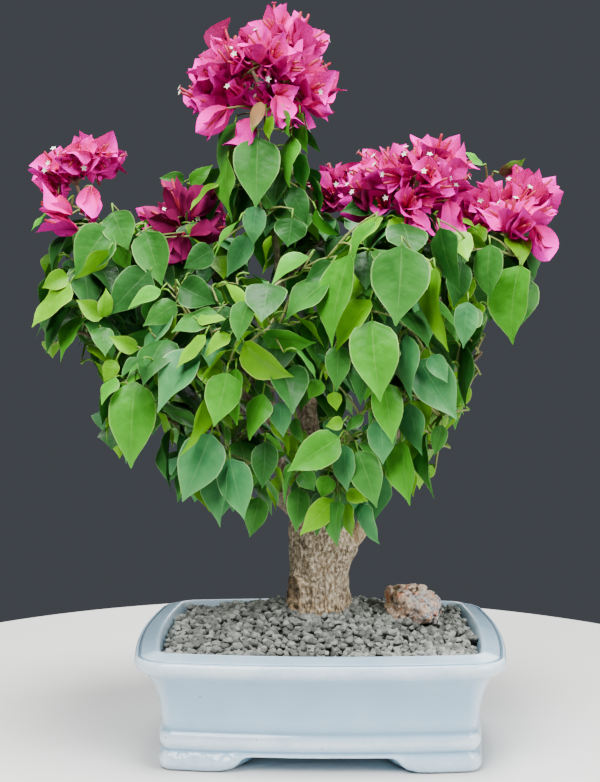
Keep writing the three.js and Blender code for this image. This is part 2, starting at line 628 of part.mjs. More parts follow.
// A shoot: a twig with a leaf near its end and others on alternate sides of it
function growShoot(mass, tip) {
  const from = nearestOf(mass.joints, tip);
  if (!growTwig(mass, from, tip)) return;
  const outward = tip.clone().sub(vector(mass.centre)).add(tip).sub(from);
  const heading = Math.atan2(outward.y, outward.x);
  for (const [part, side] of LEAF_STATIONS) {
    tryLeaf(mass, from.clone().lerp(tip, part), heading + side * LEAF_FAN);
  }
}

// Florets over the upper part of a bloom, in bunches that each rise from one branch of its stem
function growBloom(mass, hub) {
  const { centre, half, bunches } = mass.bloom;
  const mouths = domePoints(bunches * FLORETS_PER_BUNCH, centre, half, 1);
  const joints = domePoints(bunches, centre, half, BUNCH_DEPTH);
  for (const joint of joints) {
    const beyond = joint.clone().lerp(hub, -BUNCH_BEYOND);
    addPiece(twigSolid(hub, beyond, BUNCH_RADIUS, BUNCH_THICK_AT), mass);
  }
  mouths.forEach((mouth, i) => {
    const joint = nearestOf(joints, mouth);
    const axis = mouth.clone().sub(joint).normalize();
    const base = joint.clone().addScaledVector(axis, -FLORET_SUNK);
    const length = base.distanceTo(mouth);
    const floret = (extra) => floretSolid(base, axis, length + extra, FLORET_MOUTH + extra, i);
    if (missesNeighbours(floret(CLEAR), mass.bough)) addPiece(floret(0), mass);
  });
}

// Points over the top of an ellipsoid, "depth" of the way out, on a spiral of the golden angle
function domePoints(count, centre, half, depth) {
  return Array.from({ length: count }, (_, i) => {
    const cosine = 1 - ((i + 0.5) / count) * (1 - Math.cos(BLOOM_SPREAD));
    const sine = Math.sqrt(1 - cosine * cosine);
    const turn = i * GOLDEN_ANGLE;
    const outward = new THREE.Vector3(sine * Math.cos(turn), sine * Math.sin(turn), cosine);
    return outward.multiplyScalar(depth).multiply(vector(half)).add(vector(centre));
  });
}

// A mass: a stem from its bough's tip to the heart of its space, then blossom, large leaves and shoots
function makeMass(plan) {
  const { curve } = limbs[plan.bough];
  const along = curve.getTangentAt(1);
  const root = curve.getPointAt(1).addScaledVector(along, GAP);
  const knee = root.clone().addScaledVector(along, STEM_KNEE);
  const heart = root.clone().lerp(vector(plan.centre), STEM_HEART);
  const stops = [root, knee, heart];
  if (plan.bloom) {
    const { centre, half } = plan.bloom;
    stops.push(vector(centre).addScaledVector(UP, HUB_DEPTH * half[2]));
  }
  const line = curveThrough(stops.map((point) => point.toArray()));
  const joints = STEM_JOINTS.map((part) => line.getPointAt(part));
  const mass = { ...plan, joints, random: seeded(plan.seed), pieces: [] };
  const steps = plan.bloom ? STEM_BLOOM_STEPS : STEM_STEPS;
  addPiece(tube(line, (part) => mix(STEM_RADIUS, part), STEM_SIDES, steps), mass);
  if (plan.bloom) growBloom(mass, stops[3]);
  growLargeLeaves(mass);
  const tips = spreadPoints(mass.random, plan.shoots, plan.centre, plan.half);
  tips.sort((a, b) => a.distanceTo(heart) - b.distanceTo(heart));
  tips.forEach((tip) => growShoot(mass, tip));
  return largestBody(wasm.Manifold.union(mass.pieces).simplify(FUSE_TOLERANCE));
}

const limbs = { trunk: { curve: curveThrough(TRUNK_LINE) } };
const bonsai = new THREE.Group();
const plant = new THREE.Group();
plant.position.set(...POT_PLACE);
bonsai.add(plant);

const soil = makeSoil();
plant.add(meshOf('pot', makePot(), 'glaze'));
plant.add(meshOf('soil', soil, 'gravel'));
plant.add(meshOf('stone', makeStone(soil), 'stone'));
plant.add(meshOf('trunk', makeTrunk(), 'bark'));
stand(limbs.trunk.wide, 'trunk');
for (const bough of BOUGHS) {
  plant.add(meshOf(`${bough.name}_bough`, makeBough(bough), 'bark'));
  stand(limbs[bough.name].wide, `${bough.name}_bough`);
}
for (const mass of MASSES) {
  plant.add(meshOf(`${mass.bough}_mass`, makeMass(mass), mass.bloom ? 'bract' : 'leaf'));
}

export default bonsai;
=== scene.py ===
# Bougainvillea bonsai in a glazed oblong pot: the looks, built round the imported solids
import math
from typing import NamedTuple

import bmesh
import bpy
import numpy as np
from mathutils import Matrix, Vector, noise


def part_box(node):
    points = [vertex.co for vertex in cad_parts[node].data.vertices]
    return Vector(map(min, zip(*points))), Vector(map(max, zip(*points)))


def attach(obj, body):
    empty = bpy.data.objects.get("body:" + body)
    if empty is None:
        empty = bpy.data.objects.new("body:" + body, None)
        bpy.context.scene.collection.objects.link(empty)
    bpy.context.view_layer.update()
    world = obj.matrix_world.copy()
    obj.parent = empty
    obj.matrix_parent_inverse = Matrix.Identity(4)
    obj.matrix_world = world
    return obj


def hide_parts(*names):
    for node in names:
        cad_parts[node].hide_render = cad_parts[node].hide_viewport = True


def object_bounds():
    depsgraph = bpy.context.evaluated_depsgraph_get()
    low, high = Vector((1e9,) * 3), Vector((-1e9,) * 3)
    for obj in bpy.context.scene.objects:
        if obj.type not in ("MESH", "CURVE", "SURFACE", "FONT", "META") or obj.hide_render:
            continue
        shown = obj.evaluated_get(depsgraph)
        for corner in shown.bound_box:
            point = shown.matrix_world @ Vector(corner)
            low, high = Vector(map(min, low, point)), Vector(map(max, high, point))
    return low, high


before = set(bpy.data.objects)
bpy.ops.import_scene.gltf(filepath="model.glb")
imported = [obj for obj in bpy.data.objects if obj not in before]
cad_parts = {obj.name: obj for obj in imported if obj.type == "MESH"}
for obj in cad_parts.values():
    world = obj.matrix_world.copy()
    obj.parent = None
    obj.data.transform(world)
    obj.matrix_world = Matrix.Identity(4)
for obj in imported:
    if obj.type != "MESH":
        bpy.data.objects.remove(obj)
CAD_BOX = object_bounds()

# Sizes are millimetres from the middle of the pot's underside, +Z up, -Y to the front. The frame is metres.
MM = 0.001
POT_LOW, POT_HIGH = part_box("pot")
ORIGIN = np.array(((POT_LOW.x + POT_HIGH.x) / 2, (POT_LOW.y + POT_HIGH.y) / 2, POT_LOW.z))
UP = np.array((0.0, 0.0, 1.0))

# Camera, fitted to the pot's rim and feet in the photo, whose frame is 600 by 782 pixels
PHOTO_WIDE = 600
PHOTO_HIGH = 782
FOCAL_PIXELS = 1430
SENSOR = 36
CAMERA_PLACE = np.array((7.4, -1035.0, 320.8))
CAMERA_PITCH = math.radians(3.7)
CAMERA_YAW = math.radians(1.25)

# Pot: size over the rim's corners, and how far its short and long sides bow out between them
POT_WIDTH = 254
POT_DEPTH = 203
RIM_CORNER = 28
LEAST_CORNER = 6
SIDE_BOW = (5, 7)
POT_SIDES = 480
ROWS_PER_SPAN = 3

# The wall's outline, from the underside round the foot, bead and lip and down the inside to the floor.
# Each point is its inset from the rim, its height and its share of white, from thin glaze and painted
# highlight, or below 0 of dark, from pooled glaze and painted shade in the grooves.
POT_OUTLINE = [
    (72, 12.5, 0), (51, 12.5, 0), (49.5, 11.5, 0), (48, 1.5, 0), (46, 0, 0), (22, 0, 0), (19.4, 0.7, 0.1),
    (17.4, 2.8, 0.45), (16.6, 6, 0.5), (17.3, 9.8, 0.5), (19.2, 12.8, 0.1), (19.8, 14.4, -0.5),
    (19, 16.2, 0.4), (17.4, 19.2, 0.75), (17.1, 22.4, 0.75), (18, 25.4, 0.4), (19.5, 27.6, -0.4),
    (19.1, 32, 0.05), (18, 42, 0.05), (15.8, 52, 0.05), (12.6, 60, 0.1), (8.2, 65.8, 0.15),
    (3.8, 68.6, 0.35), (1.2, 70.8, 0.6), (0, 73.6, 0.75), (0.4, 76.4, 0.75), (1.6, 78.2, 0.6),
    (2.6, 78.5, 0.2), (3.2, 76.9, -1), (4.3, 76.9, -1), (5, 78.9, 0.2), (6.6, 79.5, 0.2), (11, 80.9, 0.2),
    (15.2, 81.9, 0.2), (17.3, 81.4, 0.45), (18.3, 79.2, 0.4), (19.4, 75, 0.2), (22, 56, 0), (26, 24, 0),
    (28, 19.6, 0), (45, 19, 0),
]

# Feet: the clear span between them along the front and side, the arch's height, and its scrolled end
FOOT_SPAN_FRONT = 150
FOOT_SPAN_SIDE = 108
FOOT_ARCH = 11.5
FOOT_SCROLL = 30
FOOT_TOP = 14.4
FOOT_EDGE = 22
ARCH_CURVE = [(0, 0), (0.3, 0.06), (0.55, 0.26), (0.66, 0.5), (0.74, 0.78), (0.86, 0.96), (1, 1)]

# Glaze: lumps on the feet as (height, width), the bare strip under them, and how much painted highlight
# whitens the corners
FOOT_LUMPS = (1.2, 8)
UNGLAZED = 1.2
CORNER_HIGHLIGHT = 0.5

# Gravel: level at the wall, its rise to the mound round the trunk, its hummocks, the bed and the pebbles
GRAVEL_EDGE = 77.5
GRAVEL_RISE = 15.6
MOUND_REACH = 118
GROUND = 92.5
GRAVEL_CELL = 26
GRAVEL_LUMP = 2.2
LUMPS_FROM_TRUNK = 44
LUMPS_WITHIN = (94, 68)
LUMP_STRIDE = (37, 101)
BED_CELLS = (60, 46)
BED_INSET = 24
BED_DEPTH = 6.5
BED_FLOOR = 19.5
BED_TAPER = 0.88
PEBBLE_STEP = 4.3
PEBBLE_ROWS = 0.87
PEBBLE_JITTER = 1.2
PEBBLE_SIZE = (3.1, 5.4)
PEBBLE_WIDTH = (0.66, 0.95)
PEBBLE_HEIGHT = (0.5, 0.82)
PEBBLE_ROUGH = 0.17
PEBBLE_INSET = 22.5
PEBBLES_UNDER_TRUNK = 3
PEBBLES_FROM_STONE = 0.34
# Layers as (lift, share kept); the lowest is near-black, painted shade in the gaps between the pebbles above
PEBBLE_LAYERS = [(-4.8, 0.85), (-2.2, 0.68), (0.3, 0.42)]
PEBBLE_UPS_AND_DOWNS = 1.2
PEBBLE_SEED = 71

# Stone on the gravel, and its flat cuts as (way, distance)
STONE_SIZE = (43, 36, 33)
STONE_PLACE = (68, 16, 95)
STONE_FINENESS = 6
STONE_GRAIN = 13
STONE_CUTS = [
    ((0.6, -0.1, 0.79), 13.5), ((-0.78, -0.25, 0.57), 15), ((0.1, -0.75, 0.65), 12.5),
    ((-0.35, -0.93, -0.1), 14), ((0.75, -0.65, 0.1), 15.5), ((0, 0.75, 0.66), 12),
    ((-0.3, -0.5, 0.81), 14.5), ((0.1, 0, 0.99), 12.5),
]
STONE_CUT_SHARE = 0.9

# The stone's facets as (tilt, step), and its waves of relief as (height, width, shift of the pattern)
STONE_FACETS = (0.5, 1.2)
FACET_STRIDE = 7
STONE_WAVES = [(3, 13, 3.1, 0, 0), (1.4, 6), (0.8, 3.2), (0.3, 1.2)]

# The stone's cracks as (share, patchiness, width of a patch, thinness), and pits as (distance apart, size)
STONE_CRACKS = (0.3, 2.5, 16, 0.06)
CRACK_SHIFT = (0, 7, 0)
CRACK_DEPTH = 2
STONE_PITS = (5, 0.4)
STONE_SWELL = 0.8
STONE_SUNK = 2

# Trunk: its line as in the solids, and its radius as (part of length, radius), slimmer at the foot than there
TRUNK_LINE = [(-1.5, 14, 86.5), (-1.5, 14, 120), (-2, 14, 148), (-7, 16, 180), (-9, 18, 215), (-10, 20, 250)]
TRUNK_RADII = [(0, 24), (0.06, 23), (0.14, 22), (0.3, 21.6), (0.4, 20), (0.54, 13.5), (0.76, 9.2), (1, 6.8)]
TRUNK_EASE = 0.06
EASE_SAMPLES = 7
TRUNK_SIDES = 150
TRUNK_ROWS = 250

# The trunk's healed end, its swelling below each limb, and the heights between which painted shade of the
# crown darkens its bark
TRUNK_END = 0.95
TRUNK_CLOSE = 0.96
FORK_SWELL = {"right_limb": 9, "leader": 3.5}
FORK_ABOVE = 0.1
FORK_LONG = 0.075
CROWN_SHADE = (165, 205)

# Bark: waves of relief as (height, width), plain and drawn out along the grain, and the foot's shreds
TRUNK_WAVES = [(1.5, 24), (0.6, 1.9)]
GRAIN_WAVES = [(0.9, 3.6)]
SHRED_WAVES = [(1.2, 4)]
SHRED_GRAIN_WAVES = [(2, 1.7)]
BOUGH_WAVES = [(0.5, 5), (0.3, 2)]
GRAIN_STRETCH = 0.3
SHRED_HEIGHT = 22
WORN_WAVES = [(0.9, 4)]
WORN_FOOT = 0.7
WORN_LIP = 0.9
WORN_LESS = 0.3

# An old scar: where it lies, its size, and its lip and floor in parts of that size
SCAR_HEADING = math.radians(222)
SCAR_HEIGHT = 107
SCAR_WIDTH = 0.24
SCAR_TALL = 10.5
SCAR_DEPTH = 8
SCAR_FLOOR = 0.75
LIP_HEIGHT = 4
LIP_AT = 1.15
LIP_WIDE = 0.3

# Boughs: name, parent, part of the parent's length where it leaves, radii, tip, then its arch or its bends
BOUGHS = [
    ("leader", "trunk", 0.32, (5.8, 2.2), (-35, 0, 381),
     [(-25, 6, 176), (-33, 0, 227), (-40, 0, 272), (-31, 0, 332)]),
    ("right_limb", "trunk", 0.22, (6.2, 2.2), (64, -18, 336),
     [(27, 7, 148), (37, 1, 172), (45, -6, 202), (64, -14, 262)]),
    ("low_left", "leader", 0.15, (4.2, 2.2), (-66, -32, 204), [(-46, -13, 186)]),
    ("low_centre", "trunk", 0.5, (4.4, 2.2), (10, -44, 196), 4),
    ("back_low", "trunk", 0.5, (4.4, 2.2), (8, 66, 192), 6),
    ("back_left", "trunk", 0.74, (4.2, 2.2), (-76, 68, 252), 8),
    ("back_centre", "trunk", 0.88, (4, 2.2), (-12, 82, 262), 4),
    ("left_low", "leader", 0.28, (3.8, 2.1), (-100, -36, 234), 8),
    ("left_tip", "leader", 0.36, (3.6, 2.1), (-150, -26, 290), 12),
    ("left_back", "leader", 0.4, (3.4, 2.1), (-132, 48, 292), 8),
    ("left", "leader", 0.48, (3.6, 2.1), (-132, -8, 338), 8),
    ("centre_left", "leader", 0.54, (3.2, 2.1), (-80, -44, 300), 5),
    ("centre", "leader", 0.6, (3.2, 2.1), (-30, -50, 300), 6),
    ("back_left_upper", "leader", 0.66, (3.2, 2.1), (-92, 54, 346), 6),
    ("back_right_upper", "leader", 0.74, (3, 2.1), (-4, 56, 360), 5),
    ("right_low", "right_limb", 0.4, (3.8, 2.1), (78, -42, 218), 6),
    ("back_right", "right_limb", 0.48, (3.8, 2.1), (78, 62, 256), 8),
    ("right_side", "right_limb", 0.58, (3.6, 2.1), (102, -18, 274), 6),
    ("right_outer", "right_limb", 0.7, (3.6, 2.1), (116, -8, 334), 8),
    ("right_back", "right_limb", 0.76, (3.4, 2.1), (106, 62, 334), 8),
    ("right_front", "right_limb", 0.82, (3.2, 2.1), (48, -58, 318), 5),
]
BOUGH_SIDES = 18
BOUGH_STEP = 1.6
BOUGH_TAPER = 0.65
BOUGH_FLARE = 0.9
FLARE_LENGTH = 13
LIMB_FLARE_LENGTH = 22
PALE_BOUGH = "right_limb"

# Masses: bough, seed, centre and half size of the space, shoots that the solids have, and the bloom on it.
# A bloom is its centre, half size, number of bunches, and the angle from the top that its florets reach.
MASSES = [
    ("leader", 11, (-38, -4, 404), (34, 32, 30), 5, ((-40, -5, 480), (55, 50, 45), 6, 2.4)),
    ("left", 12, (-160, -12, 356), (42, 38, 30), 5, ((-175, -10, 415), (38, 31, 28), 2, 2.2)),
    ("left_tip", 13, (-178, -28, 300), (34, 34, 34), 5, None),
    ("left_back", 14, (-152, 70, 300), (44, 42, 44), 5, None),
    ("left_low", 15, (-118, -48, 244), (36, 34, 34), 5, None),
    ("centre_left", 16, (-92, -66, 310), (46, 40, 42), 7, None),
    ("low_left", 17, (-70, -58, 216), (38, 36, 36), 5, None),
    ("centre", 18, (-28, -84, 300), (34, 32, 44), 7, None),
    ("low_centre", 19, (14, -62, 202), (40, 30, 36), 6, None),
    ("right_front", 20, (42, -84, 314), (34, 34, 42), 6, None),
    ("right_limb", 21, (62, -24, 362), (40, 38, 22), 5, ((61, -25, 398), (52, 44, 37), 5, 2.0)),
    ("right_outer", 22, (124, -12, 346), (38, 40, 26), 5, ((134, -10, 382), (40, 38, 32), 3, 2.0)),
    ("right_side", 23, (116, -34, 286), (36, 42, 36), 5, None),
    ("right_low", 24, (80, -62, 232), (32, 34, 42), 6, None),
    ("right_back", 45, (116, 78, 338), (40, 40, 34), 4, ((118, 80, 378), (36, 34, 28), 2, 1.9)),
    ("back_left_upper", 26, (-102, 68, 360), (42, 40, 26), 5, ((-106, 60, 380), (38, 34, 28), 2, 2.1)),
    ("back_right_upper", 27, (2, 78, 366), (44, 40, 26), 5, ((0, 66, 400), (32, 32, 28), 2, 2.0)),
    ("back_left", 28, (-88, 100, 266), (44, 44, 44), 5, None),
    ("back_centre", 29, (-8, 112, 282), (38, 38, 44), 5, None),
    ("back_right", 30, (86, 92, 264), (44, 42, 42), 5, None),
    ("back_low", 31, (10, 88, 202), (46, 32, 30), 5, None),
]

# Spaces between two masses at the sides that finer shoots of one of them close: bough, seed, space and shoots
SIDE_SPACES = [
    ("right_side", 61, (98, 24, 290), (42, 34, 46), 14),
    ("right_low", 62, (78, 8, 236), (34, 34, 34), 8),
    ("left_back", 63, (-112, 14, 272), (38, 34, 44), 11),
]

# Stems and twigs: a stem goes on from its bough's tip, bends at its knee and ends near the mass's heart
STEM_KNEE = 6
STEM_HEART = 0.75
STEM_JOINTS = (0.3, 0.45, 0.6, 0.75, 0.9)
STEM_RADIUS = (2.1, 1.3)
TWIG_RADIUS = (1.0, 0.5)
TWIG_SIDES = 6
TWIG_STEP = 6
TWIG_ARCH = 0.08
TWIG_JOINTS = (0.25, 0.5, 0.75)
BEHIND_COST = 2

# Shoots: how many more than in the solids, and the tries at each one, drawn in the same order as there
SHOOT_MORE = 3.8
SHOOT_TRIES = 12
SHOOT_INNER = 0.35
STREAM_SEED = 7919
STREAM_TIMES = 1664525
STREAM_PLUS = 1013904223
STREAM_SIZE = 2**32

# Leaves: ovate with a drip tip, folded along the midrib, hanging tip down on a petiole.
# A shoot has one at its end and others on alternate sides, as (part of the shoot, side, part of full size).
LEAF_STATIONS = [
    (1.0, 0, 0.6), (0.86, 1, 0.72), (0.74, -1, 0.84), (0.6, 0.8, 0.95), (0.48, -0.8, 1), (0.34, 0.5, 1),
    (0.2, -0.5, 1),
]
LEAF_LENGTH = (40, 53)
LEAF_WIDTH = (0.68, 0.82)
LEAF_FAN = 1.35
LEAF_DROOP = (0.55, 1.3)
LEAF_TRIES = 8
LEAF_SHRINK = 0.035
LEAF_SWING = (0.5, 0.35)
LEAF_REACH = 36
LEAF_ROOM = 5.5
LEAF_SAMPLES = [
    (0.15, 0), (0.4, -0.75), (0.4, 0), (0.4, 0.75), (0.65, -0.5), (0.65, 0.5), (0.68, 0), (0.94, 0),
]
LIMB_SAMPLE = 5
ROOM_POINTS = 200000
PETIOLE = 10
PETIOLE_WAY = (0.85, 0.2)
PETIOLE_BOW = (0.22, 0.18)
PETIOLE_RADIUS = (0.8, 0.6)
PETIOLE_ROWS = 4
PETIOLE_SIDES = 4

# Blades of leaves and bracts: width along them, and rows and columns of corners.
# Each blade's bend, sideways sweep, fold, cup, ripple and ripple's start are drawn from the ranges.
LEAF_BLADE = {
    "outline": [
        (0, 0.07), (0.03, 0.4), (0.09, 0.69), (0.2, 0.93), (0.34, 1), (0.5, 0.92), (0.65, 0.69), (0.78, 0.4),
        (0.88, 0.18), (0.95, 0.07), (1, 0.02),
    ],
    "rows": 10,
    "across": (-1, -0.72, -0.36, 0, 0.36, 0.72, 1),
    "ranges": [(0.1, 0.8), (-0.09, 0.09), (0.08, 0.36), (-0.7, 0.4), (0.04, 0.16), (0, 6)],
}
BRACT_BLADE = {
    "outline": [
        (0, 0.12), (0.06, 0.46), (0.16, 0.78), (0.3, 0.97), (0.44, 1), (0.6, 0.91), (0.75, 0.68),
        (0.87, 0.38), (0.95, 0.15), (1, 0.02),
    ],
    "rows": 9,
    "across": (-1, -0.66, -0.33, 0, 0.33, 0.66, 1),
    "ranges": [(-0.5, 1.1), (-0.16, 0.16), (0.05, 0.45), (0.2, 1.4), (0.1, 0.36), (0, 6)],
}
STRAIGHT_AT = 0.35
RIPPLE_TURN = 9
RIPPLE_LAG = 1.3

# Leaf tones, as sRGB codes of the face, the tip and the margin
# Cool is a bluish green that paints the sky's sheen on glossy leaves; deep is a dark green that paints the
# crown's shade
LEAF_TONES = {
    "young": ("569A00", "76C00C", "C2D868"),
    "fresh": ("38861A", "58B42E", "ACD474"),
    "olive": ("427416", "649C2A", "B4D074"),
    "mature": ("2A6820", "489238", "A0C874"),
    "cool": ("2E7440", "549E58", "A0CA84"),
    "deep": ("1A4C18", "326E2E", "84B46C"),
}

# How tones are dealt: small leaves are often young, others darker inside the crown as painted shade, and on
# its upper masses
YOUNG_SIZE = 0.75
YOUNG_SHARE = 0.55
FRESH_SHARE = 0.6
INNER_SHADE = 0.5
UPPER_LEVEL = 295
UPPER_AGE = 0.2
LOWER_AGE = -0.08
AGE_STEPS = (0.38, 0.72, 0.95)

# Leaves that stand out in the photo: pixels of base and tip, width in pixels, distance in front, and tone.
# A width under half the length is a leaf turned on edge, to the other side where negative.
SHOWN_LEAVES = [
    ((108, 228), (72, 275), 42, 48, "mature"), ((113, 212), (130, 250), 35, 46, "mature"),
    ((146, 232), (163, 286), 37, 44, "mature"), ((150, 271), (105, 314), 38, 50, "deep"),
    ((72, 232), (48, 277), 15, 30, "deep"), ((68, 276), (41, 286), 20, 52, "young"),
    ((70, 283), (32, 326), 28, 55, "young"), ((104, 316), (75, 302), 20, 58, "young"),
    ((105, 316), (106, 288), 14, 60, "young"), ((108, 250), (75, 279), -12, 56, "young"),
    ((86, 319), (57, 360), 20, 45, "fresh"), ((118, 246), (128, 272), 20, 30, "fresh"),
    ((161, 290), (127, 308), 17, 62, "fresh"), ((176, 303), (143, 326), 24, 66, "mature"),
    ((180, 286), (216, 304), 34, 70, "deep"), ((213, 250), (182, 266), 26, 40, "deep"),
    ((217, 313), (170, 329), 24, 76, "mature"), ((197, 320), (228, 318), -12, 80, "young"),
    ((67, 202), (48, 214), 14, 30, "fresh"), ((50, 212), (31, 231), 8, 28, "fresh"),
    ((135, 382), (129, 470), 48, 72, "fresh"), ((116, 361), (102, 381), 17, 60, "young"),
    ((137, 350), (110, 335), 17, 66, "young"), ((200, 353), (154, 409), 36, 92, "cool"),
    ((205, 335), (177, 369), 16, 98, "young"), ((230, 335), (203, 355), 16, 100, "young"),
    ((227, 373), (218, 427), 37, 104, "fresh"), ((236, 369), (237, 425), 26, 96, "fresh"),
    ((263, 394), (248, 441), 24, 88, "fresh"), ((205, 394), (185, 457), -14, 96, "young"),
    ((211, 434), (186, 504), 46, 90, "cool"), ((230, 459), (244, 519), 36, 84, "cool"),
    ((226, 462), (218, 527), 28, 76, "cool"), ((265, 442), (266, 488), 27, 78, "deep"),
    ((280, 402), (281, 438), 22, 84, "cool"), ((244, 343), (292, 381), 30, 112, "young"),
    ((171, 429), (169, 491), 10, 66, "deep"), ((179, 434), (174, 483), -12, 72, "cool"),
    ((259, 497), (252, 538), 24, 50, "mature"), ((256, 381), (275, 402), 14, 70, "deep"),
    ((292, 218), (288, 247), 34, 60, "deep"), ((256, 206), (251, 246), 24, 40, "cool"),
    ((290, 188), (310, 224), 24, 32, "deep"), ((316, 209), (339, 238), 10, 34, "fresh"),
    ((375, 221), (344, 273), 13, 100, "fresh"), ((350, 255), (329, 347), 33, 108, "fresh"),
    ((370, 300), (335, 351), 26, 104, "young"), ((402, 246), (399, 326), 61, 114, "mature"),
    ((372, 321), (374, 402), 50, 114, "fresh"), ((332, 263), (303, 282), 20, 90, "deep"),
    ((309, 257), (268, 282), 18, 84, "fresh"), ((328, 281), (284, 320), 28, 96, "mature"),
    ((263, 337), (316, 343), 22, 100, "fresh"), ((258, 138), (255, 208), 48, 42, "mature"),
    ((300, 113), (306, 155), 17, 30, "fresh"), ((235, 123), (216, 172), 20, 20, "mature"),
    ((228, 158), (227, 219), 18, 36, "fresh"), ((435, 268), (442, 353), 16, 100, "young"),
    ((440, 228), (456, 295), 20, 86, "deep"), ((468, 302), (460, 348), 25, 80, "cool"),
    ((462, 262), (451, 308), 26, 70, "deep"), ((431, 355), (447, 383), 20, 94, "cool"),
    ((419, 360), (456, 419), 44, 86, "cool"), ((407, 335), (407, 401), 18, 98, "cool"),
    ((384, 382), (393, 444), 32, 100, "fresh"), ((463, 344), (464, 408), 11, 60, "deep"),
    ((339, 345), (335, 391), 26, 98, "mature"), ((490, 245), (487, 300), 27, 60, "mature"),
    ((520, 266), (508, 345), 38, 50, "fresh"), ((378, 202), (340, 210), 22, 40, "deep"),
    ((483, 165), (462, 151), 10, 0, "fresh"), ((499, 173), (527, 161), 12, 0, "fresh"),
    ((402, 442), (408, 505), 27, 84, "fresh"), ((358, 451), (380, 507), 34, 88, "mature"),
    ((339, 438), (286, 469), 36, 96, "fresh"), ((299, 488), (297, 532), 23, 62, "mature"),
    ((334, 500), (298, 533), 25, 72, "young"), ((340, 501), (335, 547), 20, 76, "mature"),
    ((349, 503), (349, 539), 12, 66, "young"), ((360, 503), (376, 546), 18, 72, "cool"),
    ((345, 445), (346, 492), 23, 84, "cool"), ((380, 419), (386, 464), 30, 90, "cool"),
    ((409, 403), (421, 455), 23, 80, "cool"), ((428, 432), (431, 498), 10, 56, "mature"),
    ((442, 425), (433, 456), 17, 62, "mature"), ((334, 392), (335, 411), 15, 90, "young"),
    ((343, 422), (325, 425), 14, 92, "young"), ((320, 380), (310, 400), 18, 92, "fresh"),
    ((296, 418), (301, 444), 13, 74, "mature"), ((363, 415), (344, 432), 11, 84, "mature"),
    ((302, 472), (314, 491), 20, 66, "mature"), ((328, 476), (322, 498), 20, 68, "fresh"),
    ((346, 493), (369, 500), 15, 76, "young"), ((238, 187), (232, 223), 13, 34, "deep"),
    ((302, 111), (319, 155), 9, 20, "mature"), ((291, 136), (284, 188), 17, 38, "fresh"),
    ((300, 154), (306, 190), 18, 34, "mature"), ((239, 221), (213, 257), 8, 54, "fresh"),
    ((249, 236), (226, 277), 24, 38, "cool"), ((190, 184), (214, 166), 15, 6, "fresh"),
    ((184, 182), (160, 176), 17, 2, "mature"), ((272, 116), (268, 141), 11, 50, "young"),
    ((283, 110), (288, 138), 12, 48, "fresh"), ((263, 112), (250, 134), 10, 46, "olive"),
]

# Their lean to the front, and how a leaf on edge, its neighbours and its petiole are placed
SHOWN_LEAN = 0.12
SHOWN_RATIO = 0.72
SHOWN_LEAST = 0.5
SHOWN_MARGIN = 1.15
SHOWN_CLEAR = 4
SHOWN_PETIOLE = (0.45, 0.75, 0.3)

# Outline of the leafy crown in the photo, in pixels: no leaf dealt by the rule shows beyond it
CROWN_OUTLINE = [
    (60, 200), (28, 232), (46, 240), (42, 282), (28, 330), (52, 364), (86, 338), (98, 372),
    (92, 424), (127, 474), (160, 446), (168, 494), (200, 516), (218, 530), (252, 540), (264, 522),
    (286, 508), (298, 536), (336, 550), (377, 549), (392, 474), (408, 507), (431, 500), (440, 444),
    (458, 424), (467, 412), (474, 352), (492, 310), (508, 348), (538, 300), (540, 255), (520, 185),
    (528, 159), (488, 160), (460, 150), (400, 190), (338, 196), (342, 240), (318, 205), (322, 156),
    (304, 108), (240, 120), (214, 128), (212, 166), (165, 172), (150, 190), (120, 176),
]

# Florets: three papery bracts round three tubes, some of which end in a white star
FLORETS_PER_BUNCH = 9
BRACT_LENGTH = (22, 31)
BRACT_WIDTH = (0.58, 0.78)
BRACT_OPEN = (0.12, 0.52)
BRACT_STRAY = 0.3
BRACT_REACH = (0.85, 1.1)
BRACT_SAMPLES = (0.3, 0.65, 1)
TUBE_LENGTH = (19, 28)
TUBE_RADIUS = (0.7, 0.75, 1.05, 0.85)
TUBE_SIDES = 6
TUBE_LEAN = 0.16
STAR_SHARE = 0.25
STAR_PETALS = 5
STAR_RADIUS = 2.5
STAR_NOTCH = 0.5
STAR_CUP = (0.2, 0.9)
STAR_TURN = 6
STALK_RADIUS = (0.8, 0.6)

# Blooms: where the bunches part, how much they stand out, and how the florets lift and stray
BUNCH_DEPTH = 0.4
BUNCH_LUMP = (0.58, 1.07)
LUMP_STRAY = 0.1
HUB_DEPTH = -0.45
FLORET_LIFT = 0.4
FLORET_STRAY = 0.8
BLOOM_SEED = 100
GOLDEN_ANGLE = math.pi * (3 - math.sqrt(5))

# Bract tones, as sRGB codes of the foot, the body and the tip. Blooms at the back are darker, the deep tone
# painting their shade; elsewhere it is dealt at random.
BRACT_TONES = {
    "magenta": ("B40050", "E600A6", "F600C0"),
    "bright": ("D80074", "FF00BC", "FF00D8"),
    "deep": ("6C0C30", "94185A", "B02C78"),
    "dry": ("8C6640", "B08458", "C4A078"),
}
BLOOM_STEPS = (0.45, 0.93)
BACK_FROM = 40
BACK_SHADE = 0.6

# Florets that stand apart in the photo: pixels of the base and mouth, distance in front, and tone
SHOWN_FLORETS = [
    ((228, 108), (204, 130), 38, "magenta"), ((254, 118), (242, 142), 36, "magenta"),
    ((276, 96), (283, 118), 44, "bright"), ((72, 214), (54, 206), 34, "bright"),
    ((78, 230), (58, 225), 38, "magenta"), ((92, 186), (88, 206), 40, "bright"),
    ((180, 226), (148, 212), 16, "deep"), ((182, 216), (170, 188), 12, "deep"),
    ((192, 216), (210, 192), 14, "deep"), ((190, 236), (216, 228), 20, "deep"),
    ((184, 232), (176, 250), 18, "deep"), ((410, 208), (420, 234), 52, "bright"),
    ((448, 200), (452, 226), 46, "magenta"), ((534, 226), (550, 256), 34, "bright"),
]

# The one dried bract, low on the front of the crest: pixels of its base and tip, its width, distance in front
DRY_BRACT = ((261, 102), (255, 129), 14, 57)

